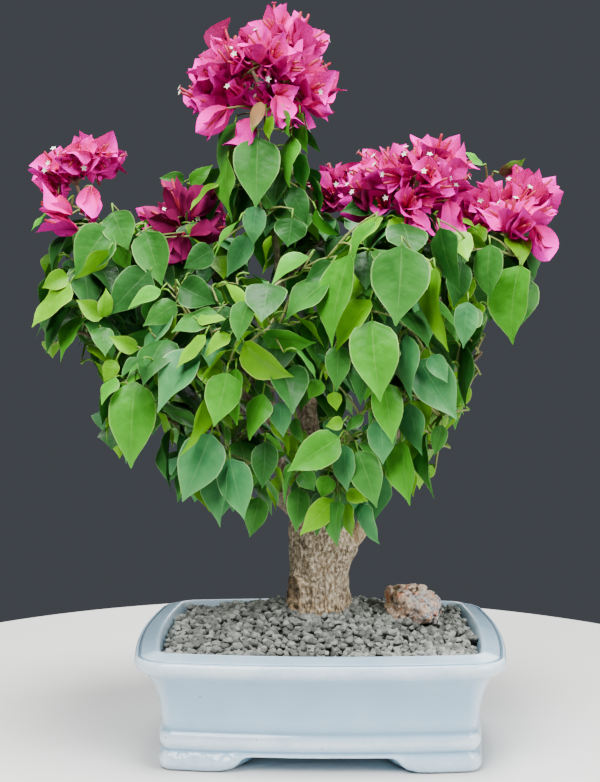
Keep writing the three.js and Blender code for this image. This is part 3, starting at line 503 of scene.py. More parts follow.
# Finishes: the size of each pattern in millimetres.
# The gravel's grit and the bark's flecks and strands are coarser than the real ones, so that they show.
GLAZE_CLOUD = 28
GLAZE_FLECK = 4
PINHOLES_APART = 17
DRIP_WIDE = 9
DRIPS_BELOW = (12, 20)
GRAVEL_GRIT = 0.9
ROCK_CRUST = 12
ROCK_GRAIN = 1.8
RUST_SPOT = 7
ROCK_LEFT_RIGHT = (-16, 18)
BARK_PATCH = 10
BARK_FLECK = 1.8
BARK_STRAND = 2
SKIN_FRECKLE = 2
LEAF_MOTTLE = 9

# Side veins of leaves and bracts: how steeply they rise from the midrib, and their number
LEAF_VEINS = (2.6, 7.0)
BRACT_VEINS = (3.4, 8.0)

# Stage: a pale floor and soft lights, as (place in metres, size, watts)
FLOOR_RADIUS = 0.45
FLOOR_SIDES = 128
LIGHTS = [
    ((-0.7, -1.5, 1.8), 1.0, 71),
    ((1.6, -1.2, 1.1), 1.0, 46),
    ((0.1, -0.3, 2.1), 0.9, 90),
    ((0.3, 1.8, 1.3), 1.4, 26),
]
SKY_STRENGTH = 0.09

# Slanting ways, to find a way across a tube, floret or star, and the step that a heading is read over
TUBE_SLANT = (0.2, 1.0, 0.3)
FLORET_SLANT = (0.3, 0.9, 0.2)
STAR_SLANT = (0.4, 0.2, 0.9)
HEADING_STEP = 0.01


# Small tools


def unit(vectors):
    """The vectors with a length of 1"""
    return vectors / np.linalg.norm(vectors, axis=-1, keepdims=True)


def mix(pair, part):
    """The value that lies a part of the way from the first of a pair to the second"""
    return pair[0] + (pair[1] - pair[0]) * part


def to_frame(points):
    """Places in the frame's metres"""
    return ORIGIN + MM * np.asarray(points, float)


def waves(point, sizes):
    """Uneven relief of noise, each wave as its height and width and, where it has one, its pattern's shift"""
    total = 0
    for height, wide, *shift in sizes:
        total += height * noise.noise(point / wide + Vector(shift or (0, 0, 0)))
    return total


def smooth_points(points, per_span=20):
    """Points of a smooth curve through the given ones, a centripetal spline as in the solids"""
    points = np.asarray(points, float)
    ends = np.vstack([2 * points[0] - points[1], points, 2 * points[-1] - points[-2]])
    spans = []
    for a, b, c, d in zip(ends, ends[1:], ends[2:], ends[3:]):
        t1, t2, t3 = np.cumsum([np.linalg.norm(q - p) ** 0.5 for p, q in ((a, b), (b, c), (c, d))])
        t = np.linspace(t1, t2, per_span, endpoint=False)[:, None]
        ab = a + (b - a) * t / t1
        bc = b + (c - b) * (t - t1) / (t2 - t1)
        cd = c + (d - c) * (t - t2) / (t3 - t2)
        abc = ab + (bc - ab) * t / t2
        bcd = bc + (cd - bc) * (t - t1) / (t3 - t1)
        spans.append(abc + (bcd - abc) * (t - t1) / (t2 - t1))
    return np.vstack([*spans, points[-1:]])


class Line:
    """A smooth curve through points, read by the part of its length"""

    def __init__(self, points):
        self.points = smooth_points(points)
        steps = np.linalg.norm(np.diff(self.points, axis=0), axis=1)
        self.reach = np.concatenate([[0], np.cumsum(steps)])
        self.length = self.reach[-1]

    def at(self, part):
        reach = np.asarray(part) * self.length
        return np.stack([np.interp(reach, self.reach, axis) for axis in self.points.T], axis=-1)

    def heading(self, part):
        ahead = self.at(np.minimum(part + HEADING_STEP, 1))
        return unit(ahead - self.at(np.maximum(part - HEADING_STEP, 0)))


class Draws:
    """A stream of numbers from 0 to 1, the same as the solids' for the same seed"""

    def __init__(self, seed):
        self.state = seed * STREAM_SEED

    def next(self):
        self.state = (self.state * STREAM_TIMES + STREAM_PLUS) % STREAM_SIZE
        return self.state / STREAM_SIZE

    def of(self, pair):
        return mix(pair, self.next())


def ring_frames(centres):
    """Two directions across a line of centres at each of them, with no twist along it"""
    along = unit(np.gradient(centres, axis=0))
    side = np.cross(along[0], TUBE_SLANT)
    frames = []
    for heading in along:
        side = unit(side - heading * side.dot(heading))
        frames.append((side, np.cross(heading, side)))
    return frames


def tube_points(centres, radii, sides):
    """Corners of a tube, ring after ring"""
    turns = np.arange(sides)[:, None] * 2 * math.pi / sides
    rings = []
    for centre, radius, (side, other) in zip(centres, radii, ring_frames(centres)):
        rings.append(centre + radius * (np.cos(turns) * side + np.sin(turns) * other))
    return np.concatenate(rings)


def tube_faces(rows, sides):
    """Four-sided faces of a tube, closed at both ends"""
    ring = np.arange(sides)
    after = (ring + 1) % sides
    wall = [np.stack([ring, after, after + sides, ring + sides], axis=1) + row * sides for row in range(rows)]
    cap = np.array([(0, k, k + 1, k + 2) for k in range(1, sides - 2, 2)])
    return np.vstack([*wall, cap[:, ::-1], cap + rows * sides])


def grid_faces(rows, columns):
    """Four-sided faces of a grid of corners, row after row"""
    corner = np.arange(rows)[:, None] * (columns + 1) + np.arange(columns)
    corner = corner.ravel()[:, None]
    return corner + np.array((0, 1, columns + 2, columns + 1))


class Joined:
    """Many small shapes gathered into one mesh, each face with its finish"""

    def __init__(self):
        self.points = []
        self.faces = []
        self.finishes = []
        self.maps = []
        self.count = 0

    def add(self, points, faces, finish, uv=None):
        self.points.append(points)
        self.faces.append(faces + self.count)
        self.finishes.append(np.broadcast_to(finish, len(faces)))
        self.maps.append(np.zeros((len(faces) * 4, 2)) if uv is None else uv[faces].reshape(-1, 2))
        self.count += len(points)

    def add_tube(self, centres, radii, sides, finish):
        self.add(tube_points(centres, radii, sides), tube_faces(len(centres) - 1, sides), finish)

    def mesh(self, name, smooth=True):
        mesh = bpy.data.meshes.new(name)
        points = to_frame(np.concatenate(self.points))
        mesh.from_pydata(points.tolist(), [], np.concatenate(self.faces).tolist())
        mesh.polygons.foreach_set("material_index", np.concatenate(self.finishes).astype(np.int32))
        blade = mesh.uv_layers.new(name="Blade")
        blade.data.foreach_set("uv", np.concatenate(self.maps).astype(np.float32).ravel())
        if smooth:
            mesh.shade_smooth()
        return mesh


def mesh_of(bm, name):
    """A finished mesh from a bmesh in millimetres, facing outwards and shaded smooth"""
    bmesh.ops.recalc_face_normals(bm, faces=bm.faces)
    bmesh.ops.scale(bm, vec=(MM, MM, MM), verts=bm.verts)
    bmesh.ops.translate(bm, vec=ORIGIN, verts=bm.verts)
    mesh = bpy.data.meshes.new(name)
    bm.to_mesh(mesh)
    bm.free()
    mesh.shade_smooth()
    return mesh


def add_piece(name, mesh, finishes, nodes):
    """A piece of the plant or pot in its finishes, which stands for the solids that it names"""
    piece = bpy.data.objects.new(name, mesh)
    bpy.context.scene.collection.objects.link(piece)
    for finish in finishes:
        mesh.materials.append(finish)
    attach(piece, "root")
    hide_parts(*nodes)


def sleeve(sides, rows, layer):
    """A closed sleeve of rings with a named attribute, and each corner's turn (0 to 1) and part of height"""
    bm = bmesh.new()
    bm.verts.layers.float.new(layer)
    edge = bm.edges.new((bm.verts.new((1, 0, 0)), bm.verts.new((1, 0, 1))))
    bmesh.ops.subdivide_edges(bm, edges=[edge], cuts=rows - 1)
    chain = bm.verts[:] + bm.edges[:]
    bmesh.ops.spin(bm, geom=chain, axis=(0, 0, 1), angle=2 * math.pi, steps=sides, use_merge=True)
    bmesh.ops.holes_fill(bm, edges=[edge for edge in bm.edges if edge.is_boundary])
    places = [(vert, math.atan2(vert.co.y, vert.co.x) / (2 * math.pi) % 1, vert.co.z) for vert in bm.verts]
    return bm, places


# Camera: its axes, the place seen at a pixel, and the pixels of places

VIEW_AHEAD = np.array((
    -math.sin(CAMERA_YAW) * math.cos(CAMERA_PITCH),
    math.cos(CAMERA_YAW) * math.cos(CAMERA_PITCH),
    -math.sin(CAMERA_PITCH),
))
VIEW_RIGHT = np.array((math.cos(CAMERA_YAW), math.sin(CAMERA_YAW), 0))
VIEW_UP = np.cross(VIEW_RIGHT, VIEW_AHEAD)


def seen_at(pixel, front):
    """The place that a pixel shows, at a distance in front of the pot's middle"""
    right = (pixel[0] - PHOTO_WIDE / 2) / FOCAL_PIXELS
    down = (pixel[1] - PHOTO_HIGH / 2) / FOCAL_PIXELS
    ray = VIEW_AHEAD + VIEW_RIGHT * right - VIEW_UP * down
    return CAMERA_PLACE + ray * (-front - CAMERA_PLACE[1]) / ray[1]


def pixels_of(points):
    """The pixels that show the places"""
    away = np.asarray(points) - CAMERA_PLACE
    depth = away @ VIEW_AHEAD
    right = PHOTO_WIDE / 2 + FOCAL_PIXELS * (away @ VIEW_RIGHT) / depth
    down = PHOTO_HIGH / 2 - FOCAL_PIXELS * (away @ VIEW_UP) / depth
    return np.stack([right, down], axis=-1)


def inside(outline, pixels):
    """Which of the pixels lie inside a closed outline"""
    outline = np.asarray(outline, float)
    x, y = pixels[:, :1], pixels[:, 1:]
    x0, y0 = outline.T
    x1, y1 = np.roll(outline, -1, axis=0).T
    crosses = (y0 > y) != (y1 > y)
    flat = np.where(y1 == y0, 1, y1 - y0)
    return (crosses & (x < x0 + (x1 - x0) * (y - y0) / flat)).sum(axis=1) % 2 == 1


# Materials


def linear(code):
    """A colour for Blender from an sRGB hex code"""
    parts = [int(code[i:i + 2], 16) / 255 for i in (0, 2, 4)]
    return (*[p / 12.92 if p <= 0.04045 else ((p + 0.055) / 1.055) ** 2.4 for p in parts], 1)


def per_mm(size):
    """The scale of a pattern whose features are that many millimetres across"""
    return 1 / (size * MM)


def node(tree, kind, inputs, out=0, **settings):
    """Adds a node with its settings, gives each input a value, colour code or link, and returns an output"""
    made = tree.nodes.new("ShaderNode" + kind)
    for key, value in settings.items():
        setattr(made, key, value)
    for socket, value in inputs.items():
        if isinstance(value, bpy.types.NodeSocket):
            tree.links.new(value, made.inputs[socket])
        else:
            made.inputs[socket].default_value = linear(value) if isinstance(value, str) else value
    return made.outputs[out]


def mixed(tree, share, first, second):
    """Two colours mixed by a share, through sockets that go by number because their names repeat"""
    return node(tree, "Mix", {0: share, 6: first, 7: second}, 2, data_type="RGBA")


def ranged(tree, value, low, high, at_low=0.0, at_high=1.0):
    """A value between two limits, turned into one between what each limit gives"""
    return node(tree, "MapRange", dict(enumerate((value, low, high, at_low, at_high))))


def reckoned(tree, operation, *values):
    """The result of an operation on one to three values"""
    return node(tree, "Math", dict(enumerate(values)), operation=operation)


def material(name, roughness, ior=1.5, gloss=0.5):
    """A new material, its nodes, and the places on a piece and on its map that patterns read"""
    made = bpy.data.materials.new(name)
    made.use_nodes = True
    tree = made.node_tree
    shader = tree.nodes["Principled BSDF"]
    shader.inputs["Roughness"].default_value = roughness
    shader.inputs["IOR"].default_value = ior
    shader.inputs["Specular IOR Level"].default_value = gloss
    coordinates = tree.nodes.new("ShaderNodeTexCoord").outputs
    return made, tree, coordinates["Object"], coordinates["UV"]


def finished(made, colour, relief=None):
    """The material with its colour and relief linked to its shader"""
    shader = made.node_tree.nodes["Principled BSDF"]
    made.node_tree.links.new(colour, shader.inputs["Base Color"])
    if relief is not None:
        made.node_tree.links.new(relief, shader.inputs["Normal"])
    return made


def fired_glaze():
    """Pale blue-grey glaze: glassy, whiter where thin and where highlights are painted, darker where pooled
    and where shade is painted in grooves, bare clay under the feet
    """
    made, tree, place, _ = material("fired_glaze_on_stoneware", 0.09)
    # The thin attribute: white from thin glaze and painted highlight, below 0 dark from pooled glaze and
    # painted groove shade
    thin = node(tree, "Attribute", {}, "Fac", attribute_name="thin")
    cloud = node(tree, "TexNoise", {"Vector": place, "Scale": per_mm(GLAZE_CLOUD), "Detail": 3})
    fleck = node(tree, "TexNoise", {"Vector": place, "Scale": per_mm(GLAZE_FLECK), "Detail": 4})
    patch = reckoned(tree, "MULTIPLY", fleck, 0.55)
    patch = reckoned(tree, "ADD", patch, cloud)
    # Painted highlight and thin glaze's white, on the edges, corners and rim
    white = reckoned(tree, "MULTIPLY", thin, patch)
    base = mixed(tree, cloud, "8AB2CE", "A4C6DE")
    body = mixed(tree, white, base, "E6F4FC")
    # Pooled glaze and painted shade in the grooves
    pooled_glaze_and_groove_shade = ranged(tree, thin, -0.1, -0.8, 0.0, 0.85)
    deep = mixed(tree, pooled_glaze_and_groove_shade, body, "5C7484")
    hole = node(tree, "TexVoronoi", {"Vector": place, "Scale": per_mm(PINHOLES_APART)})
    dot = ranged(tree, hole, 0.025, 0.05, 0.7, 0.0)
    pricked = mixed(tree, dot, deep, "5D6468")
    height = node(tree, "SeparateXYZ", {0: place}, "Z")
    bare = ranged(tree, height, 0.5 * UNGLAZED * MM, UNGLAZED * MM, 0.9, 0.0)
    colour = mixed(tree, bare, pricked, "8A6A4C")
    drips = node(tree, "TexNoise", {"Vector": place, "Scale": per_mm(DRIP_WIDE), "Detail": 2})
    low = ranged(tree, height, DRIPS_BELOW[0] * MM, DRIPS_BELOW[1] * MM, 0.7, 0.0)
    uneven = node(tree, "Bump", {"Strength": low, "Distance": 3 * MM, "Height": drips})
    ripple = node(tree, "Bump", {"Strength": 0.16, "Distance": 0.4 * MM, "Height": fleck, "Normal": uneven})
    return finished(made, colour, ripple)


def crushed_gravel(name, painted_shade, dark, light):
    """Dry crushed stone: matt, each pebble its own grey and gritty, darkened by painted shade on its lower
    half
    """
    made, tree, place, flat = material(name, 0.88)
    grit = node(tree, "TexNoise", {"Vector": place, "Scale": per_mm(GRAVEL_GRIT), "Detail": 4})
    dry = mixed(tree, grit, dark, light)
    up = node(tree, "SeparateXYZ", {0: flat}, "Y")
    # Painted shade on each pebble's lower half
    share = ranged(tree, up, 0.4, 0.68)
    colour = mixed(tree, share, painted_shade, dry)
    rough = node(tree, "Bump", {"Strength": 0.5, "Distance": 0.3 * MM, "Height": grit})
    return finished(made, colour, rough)


def weathered_rock():
    """Broken volcanic rock: rough and matt, orange-pink crusts to the left over grey, with painted shade in
    its pits and cracks
    """
    made, tree, place, _ = material("weathered_volcanic_rock", 0.85)
    hollow = node(tree, "Attribute", {}, "Fac", attribute_name="hollow")
    middle = node(tree, "Mapping", {"Vector": place, "Location": tuple(-to_frame(STONE_PLACE))})
    across = node(tree, "SeparateXYZ", {0: middle}, "X")
    ends = [edge * MM for edge in ROCK_LEFT_RIGHT]
    left = ranged(tree, across, ends[0], ends[1], 0.2, -0.08)
    crust = node(tree, "TexNoise", {"Vector": place, "Scale": per_mm(ROCK_CRUST), "Detail": 5})
    grain = node(tree, "TexNoise", {"Vector": place, "Scale": per_mm(ROCK_GRAIN), "Detail": 6})
    spots = node(tree, "TexNoise", {"Vector": middle, "Scale": per_mm(RUST_SPOT), "Detail": 3})
    leaning = reckoned(tree, "ADD", crust, left)
    share = ranged(tree, leaning, 0.46, 0.58)
    light = ranged(tree, grain, 0.28, 0.6)
    grey = mixed(tree, light, "3C3A39", "E0DCD8")
    pink = mixed(tree, light, "9C6A4C", "FFE0C6")
    crusted = mixed(tree, share, grey, pink)
    rusty = ranged(tree, spots, 0.55, 0.66, 0.0, 0.75)
    stone = mixed(tree, rusty, crusted, "F0925C")
    # Painted shade in the cracks and pits
    deep = ranged(tree, hollow, 0.2, 0.75, 0.0, 0.85)
    colour = mixed(tree, deep, stone, "2A201C")
    rough = node(tree, "Bump", {"Strength": 0.6, "Distance": 0.9 * MM, "Height": grain})
    return finished(made, colour, rough)


def corky_bark(name, dark, body, pale, torn):
    """Corky bark: matt, mottled in dark and pale patches and specks, golden with wear, and dark with painted
    shade inside the crown
    """
    made, tree, place, _ = material(name, 0.9)
    # Wear above 0, painted shade of the crown below 0
    wear_and_crown_shade = node(tree, "Attribute", {}, "Fac", attribute_name="wear_and_crown_shade")
    grain = node(tree, "Mapping", {"Vector": place, "Scale": (1, 1, 0.75)})
    fibre = node(tree, "Mapping", {"Vector": place, "Scale": (1, 1, 0.55)})
    patch = node(tree, "TexNoise", {"Vector": grain, "Scale": per_mm(BARK_PATCH), "Detail": 4})
    fleck = node(tree, "TexNoise", {
        "Vector": grain, "Scale": per_mm(BARK_FLECK), "Detail": 9, "Roughness": 0.8})
    strand = node(tree, "TexNoise", {"Vector": fibre, "Scale": per_mm(BARK_STRAND), "Detail": 5})
    speckle = reckoned(tree, "ADD", fleck, strand)
    tone = ranged(tree, patch, 0.34, 0.6, 0.3, 1.0)
    plain = mixed(tree, tone, dark, body)
    lit = ranged(tree, speckle, 0.92, 1.22, 0.0, 0.9)
    mottle = mixed(tree, lit, plain, pale)
    speck = ranged(tree, speckle, 0.7, 0.94, 0.8, 0.0)
    dim = mixed(tree, speck, mottle, dark)
    strip = ranged(tree, strand, 0.4, 0.6)
    fibres = mixed(tree, strip, dark, torn)
    bared = mixed(tree, wear_and_crown_shade, dim, fibres)
    # Painted shade of the crown over the trunk
    painted_crown_shade = ranged(tree, wear_and_crown_shade, 0.0, -1.0, 0.0, 0.75)
    colour = mixed(tree, painted_crown_shade, bared, dark)
    rough = node(tree, "Bump", {"Strength": 0.8, "Distance": 0.8 * MM, "Height": fleck})
    return finished(made, colour, rough)


def plain_skin(name, code, roughness, freckle):
    """Smooth plant skin, or soil, of one colour, faintly freckled"""
    made, tree, place, _ = material(name, roughness, 1.45)
    spots = node(tree, "TexNoise", {"Vector": place, "Scale": per_mm(SKIN_FRECKLE), "Detail": 3})
    return finished(made, mixed(tree, spots, code, freckle))


def vein_pattern(tree, flat, slope, count):
    """How far along a blade a point lies, how far from its midrib, and a wave that is 0 on each side vein"""
    along = node(tree, "SeparateXYZ", {0: flat}, "Y")
    across = node(tree, "SeparateXYZ", {0: flat}, "X")
    off = reckoned(tree, "SUBTRACT", across, 0.5)
    side = reckoned(tree, "ABSOLUTE", off)
    rise = reckoned(tree, "MULTIPLY", side, -slope)
    row = reckoned(tree, "MULTIPLY_ADD", along, count, rise)
    return along, side, reckoned(tree, "PINGPONG", row, 0.5)


def living_leaf(name, face, tip, margin):
    """Waxy leaf: satin, with a thin cream margin, partly a painted rim highlight, faint veins, a yellower tip
    and a light mottle
    """
    made, tree, place, flat = material(name, 0.4, 1.27)
    along, side, wave = vein_pattern(tree, flat, *LEAF_VEINS)
    line = ranged(tree, wave, 0.0, 0.08, 0.05, 0.0)
    rib = ranged(tree, side, 0.008, 0.025, 0.13, 0.0)
    # Pale margin: partly the leaf's own edge, partly a painted rim highlight
    edge = ranged(tree, side, 0.466, 0.488, 0.0, 0.6)
    veins = reckoned(tree, "MAXIMUM", line, rib)
    marks = reckoned(tree, "MAXIMUM", veins, edge)
    mottle = node(tree, "TexNoise", {"Vector": place, "Scale": per_mm(LEAF_MOTTLE), "Detail": 2})
    patch = ranged(tree, mottle, 0.4, 0.75, 0.0, 0.5)
    far = reckoned(tree, "ADD", along, side)
    end = ranged(tree, far, 0.4, 1.2, 0.0, 0.9)
    tone = mixed(tree, patch, face, tip)
    lit = mixed(tree, end, tone, tip)
    colour = mixed(tree, marks, lit, margin)
    uneven = node(tree, "Bump", {"Strength": 0.4, "Distance": 2.0 * MM, "Height": mottle})
    quilt = node(tree, "Bump", {"Strength": 0.1, "Distance": 1.2 * MM, "Height": wave, "Normal": uneven})
    sunk = {"Strength": 0.6, "Distance": 0.6 * MM, "Height": rib, "Normal": quilt}
    return finished(made, colour, node(tree, "Bump", sunk, invert=True))


def papery_bract(name, foot, body, tip):
    """Papery bract: thin and dry to the touch, hotter red at its foot, paler at the tip, netted with veins"""
    made, tree, _, flat = material(name, 0.7, 1.2, 0.2)
    along, side, wave = vein_pattern(tree, flat, *BRACT_VEINS)
    line = ranged(tree, wave, 0.0, 0.16, 0.3, 0.0)
    rib = ranged(tree, side, 0.0, 0.04, 0.5, 0.0)
    net = reckoned(tree, "MAXIMUM", line, rib)
    low = ranged(tree, along, 0.0, 0.5, 0.8, 0.0)
    high = ranged(tree, along, 0.45, 1.0, 0.0, 0.7)
    red = mixed(tree, low, body, foot)
    pale = mixed(tree, high, red, tip)
    colour = mixed(tree, net, pale, foot)
    crease = node(tree, "Bump", {"Strength": 0.4, "Distance": 0.4 * MM, "Height": net})
    return finished(made, colour, crease)


# Pot


def oblong(turn, inset):
    """A point of the rim's bowed oblong moved in by the inset, and how nearly it lies on a corner"""
    half_x = POT_WIDTH / 2 - RIM_CORNER
    half_y = POT_DEPTH / 2 - RIM_CORNER
    arc = RIM_CORNER * math.pi / 2
    quarter = half_x + half_y + arc
    index = int(turn * 4) % 4
    reach = (turn * 4 % 1) * quarter
    if index % 2:
        reach = quarter - reach
    shrink = min(inset, RIM_CORNER - LEAST_CORNER)
    extra = inset - shrink
    radius = RIM_CORNER - shrink
    angle = min(max((reach - half_y) / RIM_CORNER, 0), math.pi / 2)
    along_x = min(1, (quarter - reach) / half_x)
    along_y = min(1, reach / half_y)
    x = (half_x - extra) * along_x + radius * math.cos(angle) + SIDE_BOW[0] * (1 - along_y ** 2)
    y = (half_y - extra) * along_y + radius * math.sin(angle) + SIDE_BOW[1] * (1 - along_x ** 2)
    sign_x = 1 if index in (0, 3) else -1
    sign_y = 1 if index < 2 else -1
    return sign_x * x, sign_y * y, math.sin(2 * angle)


def foot_arch(x, y):
    """Height of the gap between two feet over a point of the foot"""
    along_front = abs(y) / POT_DEPTH > abs(x) / POT_WIDTH
    clear = FOOT_SPAN_FRONT / 2 - abs(x) if along_front else FOOT_SPAN_SIDE / 2 - abs(y)
    parts, heights = zip(*ARCH_CURVE)
    return FOOT_ARCH * float(np.interp(clear / FOOT_SCROLL, parts, heights))


def make_pot(finish):
    """The wall in one closed turn, its foot raised between the feet and lumpy with thick glaze"""
    outline = smooth_points(POT_OUTLINE, ROWS_PER_SPAN)
    bm, places = sleeve(POT_SIDES, len(outline) - 1, "thin")
    layer = bm.verts.layers.float["thin"]
    for vert, turn, part in places:
        inset, height, thin = outline[round(part * (len(outline) - 1))]
        x, y, corner = oblong(turn, inset)
        if height < FOOT_TOP:
            edge_x, edge_y, _ = oblong(turn, FOOT_EDGE)
            height += foot_arch(edge_x, edge_y) * (1 - height / FOOT_TOP)
            lump = waves(Vector((x, y, height)), [FOOT_LUMPS]) * math.sin(math.pi * height / FOOT_TOP)
            reach = math.hypot(x, y)
            x, y = x * (1 + lump / reach), y * (1 + lump / reach)
        vert.co = (x, y, height)
        # Painted highlight down the corners, on top of each row's share
        vert[layer] = min(1, thin + CORNER_HIGHLIGHT * corner ** 3) if thin >= 0 else thin
    add_piece("glazed_pot", mesh_of(bm, "glazed_pot"), [finish], ["pot"])


# Gravel and stone


def gravel_lump(column, row):
    """How far a corner of the gravel's cells stands above or below the level, as in the solids"""
    x, y = column * GRAVEL_CELL / 2, row * GRAVEL_CELL / 2
    near_trunk = math.hypot(x - TRUNK_LINE[0][0], y - TRUNK_LINE[0][1]) < LUMPS_FROM_TRUNK
    if near_trunk or abs(x) > LUMPS_WITHIN[0] or abs(y) > LUMPS_WITHIN[1]:
        return 0
    return GRAVEL_LUMP * (2 * Draws(column * LUMP_STRIDE[0] + row * LUMP_STRIDE[1]).next() - 1)


def gravel_level(x, y):
    """Height of the gravel: level along the wall, mounded round the trunk, in low hummocks between"""
    far = min(math.hypot(x - TRUNK_LINE[0][0], y - TRUNK_LINE[0][1]) / MOUND_REACH, 1)
    mound = GRAVEL_EDGE + GRAVEL_RISE * (1 - far * far * (3 - 2 * far))
    across, deep = x / GRAVEL_CELL - 0.5, y / GRAVEL_CELL - 0.5
    column, row = math.floor(across), math.floor(deep)
    part_x, part_y = across - column, deep - row
    corners = [[gravel_lump(2 * (column + i) + 1, 2 * (row + j) + 1) for i in (0, 1)] for j in (0, 1)]
    return mound + mix([mix(pair, part_x) for pair in corners], part_y)


def inside_pot(x, y, inset):
    """True within the rim's oblong moved in by the inset"""
    half_x = POT_WIDTH / 2 - inset
    half_y = POT_DEPTH / 2 - inset
    bow_x = SIDE_BOW[0] * max(0, 1 - (y / half_y) ** 2)
    bow_y = SIDE_BOW[1] * max(0, 1 - (x / half_x) ** 2)
    return abs(x) < half_x + bow_x and abs(y) < half_y + bow_y


def make_bed(finish):
    """The soil under the pebbles, down to the pot's floor"""
    bm = bmesh.new()
    bmesh.ops.create_grid(bm, x_segments=BED_CELLS[0], y_segments=BED_CELLS[1], size=1)
    for vert in bm.verts:
        x = vert.co.x * (POT_WIDTH / 2 - BED_INSET + SIDE_BOW[0] * (1 - vert.co.y ** 2))
        y = vert.co.y * (POT_DEPTH / 2 - BED_INSET + SIDE_BOW[1] * (1 - vert.co.x ** 2))
        vert.co = (x, y, gravel_level(x, y) - BED_DEPTH)
    made = bmesh.ops.extrude_face_region(bm, geom=bm.faces[:])
    for vert in made["geom"]:
        if isinstance(vert, bmesh.types.BMVert):
            vert.co = (vert.co.x * BED_TAPER, vert.co.y * BED_TAPER, BED_FLOOR)
    add_piece("soil_bed", mesh_of(bm, "soil_bed"), [finish], ["soil"])


def pebble_places():
    """Places on a jittered triangular grid in each layer, inside the pot and clear of the trunk and stone"""
    random = np.random.RandomState(PEBBLE_SEED)
    found = []
    for lift, share in PEBBLE_LAYERS:
        for row, y in enumerate(np.arange(-POT_DEPTH / 2, POT_DEPTH / 2, PEBBLE_STEP * PEBBLE_ROWS)):
            for x in np.arange(-POT_WIDTH / 2 + row % 2 * PEBBLE_STEP / 2, POT_WIDTH / 2, PEBBLE_STEP):
                place_x, place_y = np.array((x, y)) + random.uniform(-PEBBLE_JITTER, PEBBLE_JITTER, 2)
                kept = random.uniform() < share and inside_pot(place_x, place_y, PEBBLE_INSET)
                from_trunk = math.dist((place_x, place_y), TRUNK_LINE[0][:2])
                kept &= from_trunk > TRUNK_RADII[0][1] - PEBBLES_UNDER_TRUNK
                off_x = (place_x - STONE_PLACE[0]) / STONE_SIZE[0]
                off_y = (place_y - STONE_PLACE[1]) / STONE_SIZE[1]
                if kept and math.hypot(off_x, off_y) > PEBBLES_FROM_STONE:
                    level = gravel_level(place_x, place_y) + lift
                    level += random.uniform(-PEBBLE_UPS_AND_DOWNS, PEBBLE_UPS_AND_DOWNS)
                    found.append((place_x, place_y, level, lift == PEBBLE_LAYERS[0][0]))
    return np.array(found), random


def make_gravel(finishes):
    """Angular pebbles, each a cut cube pushed out of shape and turned at random, the lowest layer near-black
    as painted shade
    """
    bm = bmesh.new()
    bmesh.ops.create_cube(bm, size=1)
    bmesh.ops.subdivide_edges(bm, edges=bm.edges, cuts=1, use_grid_fill=True, smooth=0.2)
    bm.verts.index_update()
    shape = np.array([vert.co for vert in bm.verts])
    faces = np.array([[vert.index for vert in face.verts] for face in bm.faces])
    bm.free()
    places, random = pebble_places()
    joined = Joined()
    for *place, under in places:
        length = random.uniform(*PEBBLE_SIZE)
        size = length * np.array((1, random.uniform(*PEBBLE_WIDTH), random.uniform(*PEBBLE_HEIGHT)))
        points = (shape + random.uniform(-PEBBLE_ROUGH, PEBBLE_ROUGH, shape.shape)) * size
        turn, _ = np.linalg.qr(random.normal(size=(3, 3)))
        turn *= np.sign(np.linalg.det(turn))
        turned = points @ turn.T
        low, high = turned[:, 2].min(), turned[:, 2].max()
        # Each corner's height within its pebble goes into the map, where the finish paints shade on the lower
        # half
        up = np.column_stack([np.full(len(turned), 0.5), (turned[:, 2] - low) / (high - low)])
        # The lowest layer takes the first finish, near-black as painted shade in the gaps
        joined.add(turned + place, faces, 0 if under else random.randint(1, len(finishes)), up)
    add_piece("gravel_pebbles", joined.mesh("gravel_pebbles", smooth=False), finishes, ["soil"])


def make_stone(finish):
    """A lump broken along flat cuts, then cracked, pitted and roughened"""
    bm = bmesh.new()
    layer = bm.verts.layers.float.new("hollow")
    bmesh.ops.create_icosphere(bm, subdivisions=STONE_FINENESS, radius=0.5)
    tilted, stepped = STONE_FACETS
    share, patchy, patch, thin = STONE_CRACKS
    pit_wide, pit_size = STONE_PITS
    for vert in bm.verts:
        point = Vector(a * b for a, b in zip(vert.co, STONE_SIZE))
        outward = point.normalized()
        for way, limit in STONE_CUTS:
            point -= Vector(way) * STONE_CUT_SHARE * max(0, point.dot(Vector(way)) - limit)
        near, sites = noise.voronoi(point / STONE_GRAIN)
        tilt = noise.cell_vector(sites[0] * FACET_STRIDE) - Vector((0.5, 0.5, 0.5))
        facet = tilted * STONE_GRAIN * tilt.dot(point / STONE_GRAIN - sites[0]) + stepped * (tilt.x + tilt.y)
        open_here = share + waves(point, [(patchy, patch, *CRACK_SHIFT)])
        crack = min(1, max(0, open_here)) * math.exp(-((near[1] - near[0]) / thin) ** 2)
        pit = max(0, pit_size - noise.voronoi(point / pit_wide)[0][0]) / pit_size
        raised = waves(point, STONE_WAVES) + facet - CRACK_DEPTH * crack - pit + STONE_SWELL
        place = Vector(STONE_PLACE) + point + outward * raised
        place.z = max(place.z, gravel_level(place.x, place.y) - STONE_SUNK)
        vert.co = place
        # How hollow each point is, which the finish darkens as painted shade
        vert[layer] = min(1, crack + pit)
    add_piece("rough_stone", mesh_of(bm, "rough_stone"), [finish], ["stone"])


# Trunk and boughs

LIMBS = {"trunk": Line(TRUNK_LINE)}


